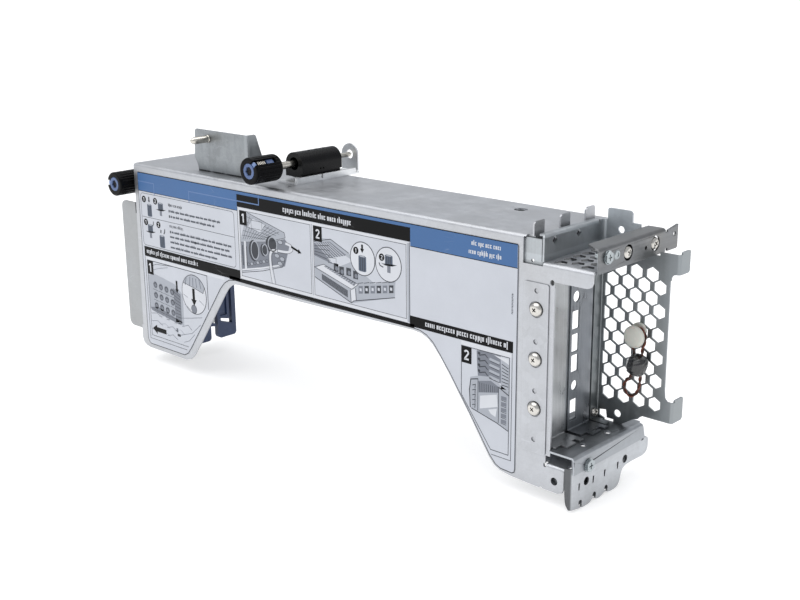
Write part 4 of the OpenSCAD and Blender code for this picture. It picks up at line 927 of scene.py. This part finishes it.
for cx, cz in ((-120.6, -33.0), (-116.6, -34.0), (-111.4, -33.8), (-106.4, -34.6)):
    A.rect("p_dark", cx - 1.7, cz - 2.2, cx + 1.7, cz + 2.0, 7)
    A.ell("p_mid", cx + 0.4, cz - 0.6, 1.1, 1.2, 8, 18)
A.add("p_white", [(-135.6, -35.6), (-130, -33.0), (-104.6, -39.4), (-109.4, -42.8)], 6)
A.stroke("p_dark", [(-137, -35.4), (-130, -33.0), (-104.6, -39.4), (-109.4, -42.8), (-137, -35.6)], 0.28, 7)
A.add("p_mid", [(-130, -34.0), (-127.6, -33.6), (-106, -38.8), (-107.6, -40.8)], 7)
slats((-129.5, -34.4), (-108.4, -40.4), (-106.8, -39.2), (-127.6, -33.8), 12, 0.25, "film", 8)
A.add("p_dark", [(-131.6, -38.4), (-112.4, -43.9), (-112.4, -47.8), (-131.6, -41.6)], 7)
slats((-131.6, -38.6), (-131.6, -41.6), (-112.4, -47.6), (-112.4, -44.0), 5, 0.22, "p_mid", 8)
A.stroke("p_dark", [(-137, -40.9), (-109.8, -50.2), (-108.2, -48.8), (-79, -41.6)], 0.4, 8)
A.stroke("p_dark", [(-110.4, -43.2), (-110, -49.8)], 0.35, 8)
A.stroke("p_dark", [(-106.6, -41.8), (-106.2, -48.4)], 0.35, 8)
A.add("p_white", [(-110.2, -43.4), (-107, -42.0), (-106.6, -48.0), (-109.8, -49.6)], 7)
for i in range(6):
    x = -104.4 + 4.3 * i
    z = -41.2 + 0.85 * i
    A.add("p_dark" if i % 2 else "p_mid", [(x, z - 3.0), (x + 3.0, z - 2.4), (x + 3.0, z + 1.6), (x, z + 1.0)], 7)
    A.rect("film", x + 0.7, z - 1.4, x + 2.2, z + 0.1, 8)
    A.stroke("p_dark", [(x - 0.4, z + 2.4), (x + 3.4, z + 3.4)], 0.3, 8)
for cx, r, n in ((-101.2, 8.7, 1), (-83.2, 8.8, 2)):
    A.ell("p_white", cx, -25.3, r, r, 9, 44)
    A.ring("p_dark", cx, -25.3, r, 0.42, 10)
A.arrow("p_black", (-101.3, -17.9), (-101.3, -22.3), 1.3, 2.2, 2.9, 10)
A.dot(1, -105.8, -21.6, 1.9, 10)
A.knob(-101.3, -27.8, 5.4, 8.4, 10)
A.dot(2, -87.7, -22.2, 1.9, 10)
A.knob(-82.8, -23.0, 5.2, 5.6, 10, True)
A.stroke("p_dark", [(-89.6, -25.2), (-88.8, -26.6), (-86.6, -27.2)], 0.6, 11)
A.tag(1, -197.3, -21.3, -191.2, -13.2, 9)
A.tag(2, -137.1, -21.3, -130.8, -13.2, 9)

# lower left panel: a plain cage over a board, with a round inset
A.rect("p_white", -290.3, -56.5, -213.5, -54.7, 2)
A.stroke("p_line", [(-288.6, -56.8), (-229.9, -56.8), (-229.9, -77.6)], 0.36, 6)
A.stroke("p_line", [(-288.6, -56.8), (-288.6, -105.3), (-251.4, -105.3)], 0.24, 6)
A.stroke("p_line", [(-290.4, -54.7), (-290.4, -107.6), (-253.2, -107.6)], 0.24, 6)
A.add("p_light", [(-288.4, -66.6), (-282, -64.6), (-262.4, -67.6), (-254.4, -73.0), (-254.8, -92.4), (-260.2, -92.8), (-286.6, -87.6), (-288.4, -86.4)], 3)
A.stroke("p_line", [(-288, -61.2), (-279.6, -58.2), (-264, -56.9)], 0.25, 6)
A.stroke("p_mid", [(-288, -63.8), (-277, -60.4), (-268, -58.4)], 0.25, 6)
A.add("p_mid", [(-288.4, -87), (-280, -85.4), (-262, -89.4), (-255.6, -90.6), (-258, -92.8), (-286.8, -88.8)], 4)
for i in range(4):
    for k in range(3):
        x, z = -281.8 + 5.6 * i, -71.6 - 6.6 * k - 0.5 * i
        A.ell("p_mid", x, z, 2.1, 2.2, 4, 18)
        A.ring("p_line", x + 0.2, z, 1.5, 0.3, 5, 16)
        A.stroke("p_dark", [(x - 1.8, z + 0.6), (x + 0.4, z + 1.2), (x + 1.8, z - 0.2)], 0.3, 5)
        A.stroke("p_line", [(x - 2.4, z - 2.9), (x + 2.6, z - 3.6)], 0.25, 5)
A.add("p_mid", [(-263.8, -70.4), (-256.6, -73.2), (-256.8, -91.8), (-262.6, -92.2)], 4)
slats((-263, -71.6), (-262.2, -91.4), (-257.2, -91), (-257, -74), 9, 0.3, "p_line", 5)
for z0, n in ((-91.0, 5), (-96.0, 4), (-101.2, 3)):
    for i in range(n):
        A.stroke("p_light" if i % 2 else "p_mid", [(-288 + 7.8 * i, z0 - 0.6 * i), (-282 + 7.8 * i, z0 + 1.2 - 0.4 * i), (-277 + 7.4 * i, z0 - 0.8 - 0.5 * i)], 0.3, 5)
A.stroke("p_mid", [(-259.6, -99.6), (-247.2, -95.8), (-238.4, -88.6)], 0.3, 5)
A.stroke("p_mid", [(-255.6, -103.2), (-250.4, -101.2), (-244.6, -96.0)], 0.3, 5)
A.stroke("p_mid", [(-259.4, -88.6), (-246.4, -86.0), (-236.6, -83.8)], 0.3, 5)
A.rect("p_mid", -262.8, -98.2, -261.2, -95.6, 5)
A.rect("p_dark", -262.0, -100.6, -259.0, -99.0, 6)
A.ell("p_white", -243.1, -70.7, 11.6, 12.0, 6, 44)
A.ring("p_line", -243.1, -70.7, 11.6, 0.4, 7, 44, 12.0)
A.add("p_light", [(-253.4, -64.6), (-250.4, -61.4), (-246.4, -59.4), (-242.6, -58.8), (-238.6, -59.7), (-235.0, -62.0), (-232.8, -65.0),
                  (-234.4, -68.2), (-242.4, -66.4), (-249.6, -65.6)], 7)
A.stroke("p_dark", [(-253.4, -64.8), (-242.4, -66.6), (-234.4, -68.4), (-232.6, -64.6)], 0.32, 8)
for x in (-249.6, -246.2, -243.6, -240.8, -237.6):
    A.stroke("p_mid", [(x, -60.4), (x + (x + 243) * 0.25, -66.0)], 0.7, 8)
A.arrow("p_black", (-243.5, -67.1), (-243.5, -77.8), 2.3, 4.0, 5.2, 8)
A.ell("p_mid", -243.8, -79.9, 2.6, 2.5, 7, 22)
A.ring("p_line", -243.8, -79.9, 2.6, 0.3, 8, 22)
A.stroke("p_mid", [(-253.6, -72.2), (-249.4, -73.6)], 0.3, 8)
A.stroke("p_mid", [(-252.6, -78.4), (-247.4, -81.0)], 0.3, 8)
A.stroke("p_mid", [(-238.4, -73.4), (-234.0, -75.8)], 0.3, 8)
A.arrow("p_black", (-259.8, -65.2), (-259.8, -73.0), 1.5, 2.6, 3.2, 8)
A.arrow("p_black", (-273.5, -100.6), (-287.3, -100.6), 2.9, 4.4, 5.9, 8)
A.tag(1, -288.6, -65.5, -282.8, -56.9, 8)

# right column: blank field, fine print, lower panel
A.marks("p_text", -5.9, -5.2, -26.1, 0.4, 3, 0.3, 41)
for i in range(14):
    A.rect("p_text", -6.15, -26.4 - 0.7 * i, -6.15 + rng.choice((0.7, 0.95, 0.95)), -26.0 - 0.7 * i, 3)
A.rect("p_white", -35.9, -56.6, -4.9, -54.4, 2)
A.stroke("p_line", [(-35.7, -56.9), (-6.8, -56.9), (-6.8, -105.3), (-17.4, -105.3), (-35.7, -81.6)], 0.3, 6, True)
A.stroke("p_line", [(-5.3, -54.6), (-5.3, -107.7), (-17.0, -107.7)], 0.25, 6)
A.add("p_mid", [(-26.4, -57.4), (-24.0, -57.0), (-12.0, -57.2), (-11.4, -70.6), (-18.4, -68.6), (-25.4, -70.8), (-26.0, -64.8)], 3)
for k in range(4):
    z = -58.9 - 2.9 * k
    A.stroke("p_dark", [(-24.8, z - 0.6), (-21.2, z + 0.5), (-19.6, z - 0.9)], 0.5, 5)
    A.stroke("p_light", [(-18.6, z - 1.0), (-12.6, z - 1.9)], 1.3, 4)
    A.stroke("p_dark", [(-18.6, z - 1.9), (-12.6, z - 2.8)], 0.3, 5)
    A.ell("p_dark", -24.9, z + 0.4, 0.8, 0.7, 5, 14)
A.add("p_light", [(-11.6, -58.4), (-7.0, -60.6), (-7.0, -72.8), (-11.6, -73.2)], 4)
slats((-11.2, -60), (-11.2, -72), (-7.3, -72), (-7.3, -61.6), 7, 0.4, "p_dark", 5)
A.add("p_white", [(-16, -57.4), (-7.2, -57.8), (-7.2, -60.2)], 5)
A.add("p_light", [(-30.2, -71.6), (-25.2, -69.8), (-18.4, -68.8), (-7.0, -73.4), (-7.0, -93.0), (-14, -90.6), (-29.2, -87.4), (-30.0, -80.8)], 4)
A.add("p_mid", [(-25.2, -72.4), (-17.6, -70.6), (-12.8, -72.6), (-12.8, -75.4), (-25.0, -78.2)], 5)
slats((-25, -73), (-13.2, -72.6), (-13.2, -75.4), (-24.8, -78), 9, 0.3, "p_dark", 6)
A.stroke("p_dark", [(-29.4, -87.2), (-14, -90.8), (-7.0, -93.2)], 0.42, 7)
A.stroke("p_dark", [(-25.3, -71.4), (-29.8, -72.6), (-30.6, -78), (-30.0, -87)], 0.5, 7)
A.stroke("p_dark", [(-13.0, -72.6), (-7.0, -75.4)], 0.5, 7)
A.stroke("p_dark", [(-12.9, -73), (-12.9, -90.6)], 0.35, 7)
A.stroke("p_line", [(-25.4, -71.4), (-25.4, -87.6)], 0.3, 7)
A.add("p_white", [(-24.0, -79.6), (-14.0, -76.6), (-13.4, -82.6), (-24.2, -86.2)], 6)
A.add("p_white", [(-19.0, -85.4), (-13.8, -83.6), (-14.6, -88.0), (-17.4, -87.2)], 6)
for k in range(5):
    A.stroke("p_dark", [(-28.8, -75.4 - 2.5 * k), (-27.0, -74.6 - 2.5 * k), (-27.2, -76.6 - 2.5 * k)], 0.4, 6)
    A.rect("p_mid", -11.4, -78.4 - 2.9 * k, -8.2, -76.6 - 2.9 * k, 6)
    A.stroke("p_dark", [(-11.4, -78.6 - 2.9 * k), (-8.2, -78.9 - 2.9 * k)], 0.25, 7)
A.tag(2, -35.6, -65.2, -29.5, -57.0, 8)
A.build()


# ------------------------------------------------------------- thumbscrews
KNOB_R, KNOB_L = 7.3, 19.0


def knob(tag, cx, cy, cz, body, slot_deg):
    place = along_y(cx, cy, cz)
    n = 144
    ribs = 24

    def ribbed(r, a, h):
        if r < KNOB_R - 1.9 or not 1.0 < h < KNOB_L - 1.0:
            return r
        k = min(1.0, (h - 1.0) / 1.2, (KNOB_L - 1.0 - h) / 1.2)
        w = (a * ribs / (2 * math.pi)) % 1.0
        g = math.exp(-((w - 0.5) / 0.15) ** 2)
        return r - 0.36 * g * k

    prof = [(0, KNOB_L), (2.6, KNOB_L), (4.9, KNOB_L)]
    for a in range(0, 91, 15):      # round tail edge
        prof.append((KNOB_R - 1.7 + 1.7 * math.sin(math.radians(a)), KNOB_L - 1.7 + 1.7 * math.cos(math.radians(a))))
    for h in (16.2, 15, 13.6, 12, 10.4, 8.8, 7.2, 5.6, 4, 2.9, 2.1, 1.3):
        prof.append((KNOB_R, h))
    for a in range(0, 91, 15):      # small round on the face edge
        prof.append((KNOB_R - 0.8 + 0.8 * math.cos(math.radians(a)), 0.8 - 0.8 * math.sin(math.radians(a))))
    prof += [(5.4, 0.0), (4.5, 0.02), (4.36, 0.14), (4.32, 0.5), (4.32, KNOB_L - 2.4), (0, KNOB_L - 2.4)]
    shell = lathe(prof[::-1], place, n, ribbed)
    sa = math.radians(slot_deg)
    d = Vector((math.cos(sa), 0, math.sin(sa)))
    t = Vector((-math.sin(sa), 0, math.cos(sa)))
    y = Vector((0, 1, 0))
    c = Vector((cx, cy, cz))
    # the side slot runs out through the face's rim
    cut = [box_mm(c + d * 6.4 + y * 6.8, (d, y, t), (5.0, 16.0, 3.4))]
    # a shallow thumb notch near the tail
    nb = math.radians(slot_deg + 10)
    nd, nt = Vector((math.cos(nb), 0, math.sin(nb))), Vector((-math.sin(nb), 0, math.cos(nb)))
    cut.append(box_mm(c + nd * 7.5 + y * 17.0, (nd, y, nt), (1.5, 0.9, 1.8)))
    v, f = carve(shell, cut)
    piece(tag + "_shell", v, f, M["black"], body, (tag + "_barrel",), smooth=32)
    # blue ring, and a near-black disc set in its hole as painted shade
    ring = [(2.25, 0.35), (2.5, 0.05), (3.2, 0.0), (4.0, 0.0), (4.18, 0.12), (4.25, 0.4), (4.25, 2.2), (2.25, 2.2), (2.25, 0.35)]
    solid = lathe(ring, place, 64)
    keys = []
    for k in range(3):
        a = math.radians(60 * k + 10)
        e = Vector((math.cos(a), 0, math.sin(a)))
        keys.append(box_mm(c + y * 0.9, (e, y, Vector((-math.sin(a), 0, math.cos(a)))), (5.1, 4.0, 0.9)))
    v, f = carve(solid, keys)
    piece(tag + "_ring", v, f, M["blue"], body, (tag + "_insert",), smooth=32)
    v, f = lathe([(0, 0.92), (0.9, 0.92), (1.25, 0.7), (2.0, 0.7), (2.23, 0.85), (2.23, 1.17), (0, 1.17)][::-1], place, 48)
    piece(tag + "_core", v, f, M["core"], body, smooth=32)
    # what shows in the slot: the ring's ear, painted paler blue as a highlight, a thread and a blue collar
    v, f = box_mm(c + d * 5.2 + y * 1.15, (d, y, t), (2.1, 1.3, 2.5))
    piece(tag + "_ear", v, f, M["ear"], body, smooth=32, bevel=0.35, seg=3)
    turns, per = 5, 48
    prof = []
    for i in range(turns * 4 + 1):
        prof.append((3.5 if i % 4 in (0, 3) else 4.28, 3.1 + i * 5.0 / (turns * 4)))
    prof = [(2.2, prof[0][1])] + prof + [(2.2, prof[-1][1]), (2.2, prof[0][1])]
    v, f = lathe(prof, place, per)
    teeth = [box_mm(c + d * 5.0 + y * (3.5 + 1.1 * i), (d, y, t), (1.9, 0.55, 2.9)) for i in range(5)]
    v, f = join((v, f), *teeth)
    piece(tag + "_thread", v, f, M["turned"], body, smooth=20)
    col = [(2.2, 9.4), (4.1, 9.4), (4.28, 9.6), (4.28, 14.2), (4.1, 14.4), (2.2, 14.4), (2.2, 9.4)]
    v, f = join(lathe(col, place, 48), box_mm(c + d * 4.9 + y * 11.9, (d, y, t), (1.9, 4.6, 3.0)))
    piece(tag + "_collar", v, f, M["blue"], body, smooth=32)


knob("knob_a", -305.9, -8.5, -10.5, "left_thumbscrew", 176)
knob("knob_b", -174.2, -11.55, 12.6, "upper_thumbscrew", 46)


# ------------------------------------------------------------------- screws
def pan(center, axis, rh, hh, rec, turn, under):
    """A domed screw head with a tapered cross recess; axis is the outward direction, center is on its seat."""
    ax = Vector(axis)
    u = ax.orthogonal().normalized()
    v = ax.cross(u)
    c = Vector(center)

    def place(r, a, h):
        q = c + u * r * math.cos(a) + v * r * math.sin(a) + ax * h
        return P(*q)
    prof = [(0, -under), (rh * 0.5, -under), (rh * 0.5, 0), (rh * 0.94, 0), (rh, 0.22)]
    for a in range(15, 91, 15):
        k = math.radians(a)
        prof.append((rh * (0.42 + 0.58 * math.cos(k)) if a < 90 else rh * 0.30, 0.22 + (hh - 0.22) * math.sin(k)))
    prof.append((0, hh + 0.03))
    cut = []
    for k in (0, 90):
        a = math.radians(turn + k)
        e = u * math.cos(a) + v * math.sin(a)
        s = ax.cross(e)
        w0, w1 = rec * 0.30, rec * 0.13
        top, bot = c + ax * (hh + 0.8), c + ax * (hh - rec * 0.95)
        vs = []
        for q, ln, w in ((top, rec * 1.25, w0), (bot, rec * 0.42, w1)):
            for i, j in ((-1, -1), (1, -1), (1, 1), (-1, 1)):
                vs.append(P(*(q + e * ln * i + s * w * j)))
        cut.append((vs, [(0, 1, 2, 3), (7, 6, 5, 4), (0, 4, 5, 1), (1, 5, 6, 2), (2, 6, 7, 3), (3, 7, 4, 0)]))
    return carve(lathe(prof, place, 48), cut)


v, f = join(*[pan((7.85, -0.06, z), (0, -1, 0), 3.4, 2.2, 1.25, t, 2.0) for z, t in ((-30.6, 8), (-54.2, 12), (-77.9, 4))])
piece("strip_screw_heads", v, f, M["nickel"], "cage", ("strip_screws",), smooth=34)
v, f = join(*[pan((38.25, y, -3.5), (1, 0, 0), 3.1, 2.3, 1.5, t, 1.6) for y, t in ((22.5, 20), (44.8, 5))])
piece("rail_screw_heads", v, f, M["nickel"], "cage", ("rail_screws",), smooth=34)

# ------------------------------------------------------- bead, wire and button
wire = [[36.5, 43.5, -61.5], [36.5, 43.5, -57], [36.8, 43.7, -53.5], [37.5, 43.8, -50.4], [37.7, 43.8, -48], [36.6, 43.8, -45.6],
        [34, 43.8, -44.4], [31.6, 43.8, -45.6], [30.7, 43.8, -49], [31.4, 43.7, -53], [32.4, 43.5, -57], [32.6, 43.5, -61.5], [32.5, 43.5, -66],
        [30.6, 44, -68.8], [28.4, 44.4, -71.2], [27, 44.8, -73.8], [27.1, 44.9, -76.4], [28.8, 44.9, -78.3], [31, 44.9, -78.7], [33.3, 44.8, -77.2],
        [34.9, 44.6, -74], [35.6, 44.2, -70.2], [36.4, 43.5, -66]]
line = smooth_loop(wire, 12)
v, f = tube(line, 0.46, 10, True, (0.40, 11, 0.0))
piece("wire_strand_dark", v, f, M["wire"], "cage", ("wire_loop",), smooth=60)
v, f = tube(line, 0.40, 10, True, (0.44, 11, math.pi))
piece("wire_strand_red", v, f, M["wire2"], "cage", smooth=60)

tilt = math.radians(18)
bc = Vector((35.3, 41.7, -61.5))
bz = Vector((math.sin(tilt), 0, math.cos(tilt)))
bx = Vector((math.cos(tilt), 0, -math.sin(tilt)))


def bead_place(r, a, h):
    q = bc + bx * r * math.cos(a) + Vector((0, 1, 0)) * r * math.sin(a) + bz * h
    return P(*q)


def bead_rib(r, a, h):
    if r < 3.0:
        return r
    # slanted lands that wind round the bead
    w = ((h - 4.85 * (a if a < math.pi else a - 2 * math.pi) * 0.62) / 2.54) % 1.0
    k = min(1.0, max(0.0, (4.6 - abs(h)) / 1.0))
    return r - 0.42 * k * math.exp(-((w - 0.5) / 0.17) ** 2)


prof = [(0, -4.7)]
for i in range(0, 25):
    a = math.radians(-90 + 7.5 * i)
    c_, s_ = math.cos(a), math.sin(a)
    prof.append((max(0.4, 4.85 * abs(c_) ** 0.5), 4.7 * math.copysign(abs(s_) ** 0.62, s_)))
prof.append((0, 4.7))
bead = lathe(prof, bead_place, 96, bead_rib)
holes = []
for x in (-2.7, 1.2):
    holes.append(lathe([(0, -9), (0.95, -9), (0.95, 9), (0, 9)], lambda r, a, h, x=x: P(bc.x + x + r * math.cos(a), bc.y + 1.8 + r * math.sin(a), bc.z + h), 24))
v, f = carve(bead, holes)
piece("bead_body", v, f, M["bead"], "cage", ("toggle_bead",), smooth=40)

# ----------------------------------------------------------- floor and lights
fm = Tree("studio_floor")
fc = fm.mix(fm.span(fm.noise(3, 2), 0.3, 0.7, 0, 1), (0.60, 0.60, 0.60, 1), (0.62, 0.62, 0.62, 1))
fm.link(fc, fm.bsdf.inputs["Base Color"])
fm.set(Roughness=0.9, Specular_IOR_Level=0.1, Emission_Color=(1.0, 1.0, 1.0, 1.0), Emission_Strength=0.55)
bm = bmesh.new()
bmesh.ops.create_circle(bm, cap_ends=True, cap_tris=True, segments=96, radius=30)
me = bpy.data.meshes.new("studio_floor")
bm.to_mesh(me)
bm.free()
me.materials.append(fm.mat)
floor = bpy.data.objects.new("studio_floor", me)
scene.collection.objects.link(floor)
floor.location = (0, 0, -0.0002)

w = bpy.data.worlds.new("studio")
scene.world = w
w.use_nodes = True
wt = w.node_tree
wt.nodes.clear()
wo = wt.nodes.new("ShaderNodeOutputWorld")
bg = wt.nodes.new("ShaderNodeBackground")
tc = wt.nodes.new("ShaderNodeTexCoord")
sp = wt.nodes.new("ShaderNodeSeparateXYZ")
rp = wt.nodes.new("ShaderNodeValToRGB")
wt.links.new(tc.outputs["Generated"], sp.inputs[0])
wt.links.new(sp.outputs["Z"], rp.inputs[0])
wt.links.new(rp.outputs[0], bg.inputs[0])
wt.links.new(bg.outputs[0], wo.inputs[0])
e = rp.color_ramp.elements
e[0].position, e[0].color = 0.0, (0.92, 0.93, 0.95, 1)
e[1].position, e[1].color = 1.0, (0.62, 0.63, 0.65, 1)
for pos, c in ((0.12, (0.72, 0.74, 0.77, 1)), (0.35, (0.52, 0.54, 0.57, 1)), (0.7, (0.60, 0.61, 0.63, 1))):
    k = e.new(pos)
    k.color = c
bg.inputs["Strength"].default_value = 1.0


def sun(name, direction, strength, angle):
    L = bpy.data.lights.new(name, "SUN")
    L.energy, L.angle = strength, math.radians(angle)
    o = bpy.data.objects.new(name, L)
    scene.collection.objects.link(o)
    o.rotation_mode = "QUATERNION"
    o.rotation_quaternion = Vector(direction).to_track_quat("-Z", "Y")
    return o


def area(name, loc, target, size, power):
    L = bpy.data.lights.new(name, "AREA")
    L.shape, L.size, L.energy = "DISK", size, power
    o = bpy.data.objects.new(name, L)
    scene.collection.objects.link(o)
    o.location = loc
    o.rotation_mode = "QUATERNION"
    o.rotation_quaternion = (Vector(target) - Vector(loc)).to_track_quat("-Z", "Y")
    return o


sun("overhead", (0.25, 0.35, -1.0), 1.5, 70)
area("front_left", (-0.5, -1.1, 0.9), (0, 0, 0.08), 0.9, 1.5)
area("top_soft", (0.1, 0.3, 1.2), (0, 0, 0.1), 0.9, 4)

# ------------------------------------------------------------------- camera
cam = bpy.data.cameras.new("photo_camera")
cam.lens, cam.sensor_width = 53.18, 36.0
cam.shift_x, cam.shift_y = -0.0059, -0.0148
cam.clip_start, cam.clip_end = 0.02, 100
co = bpy.data.objects.new("photo_camera", cam)
scene.collection.objects.link(co)
right = Vector((0.73518871, 0.67780738, -0.00864367))
down = Vector((0.17640147, -0.20361605, -0.96302805))
fwd = Vector((-0.65450751, 0.70648259, -0.26926244))
rot = Matrix((right, -down, -fwd)).transposed()
co.rotation_mode = "QUATERNION"
co.rotation_quaternion = rot.to_quaternion()
co.location = (0.43918, -0.43800, 0.243825)
scene.camera = co
scene.view_settings.view_transform = "Standard"
scene.view_settings.look = "None"
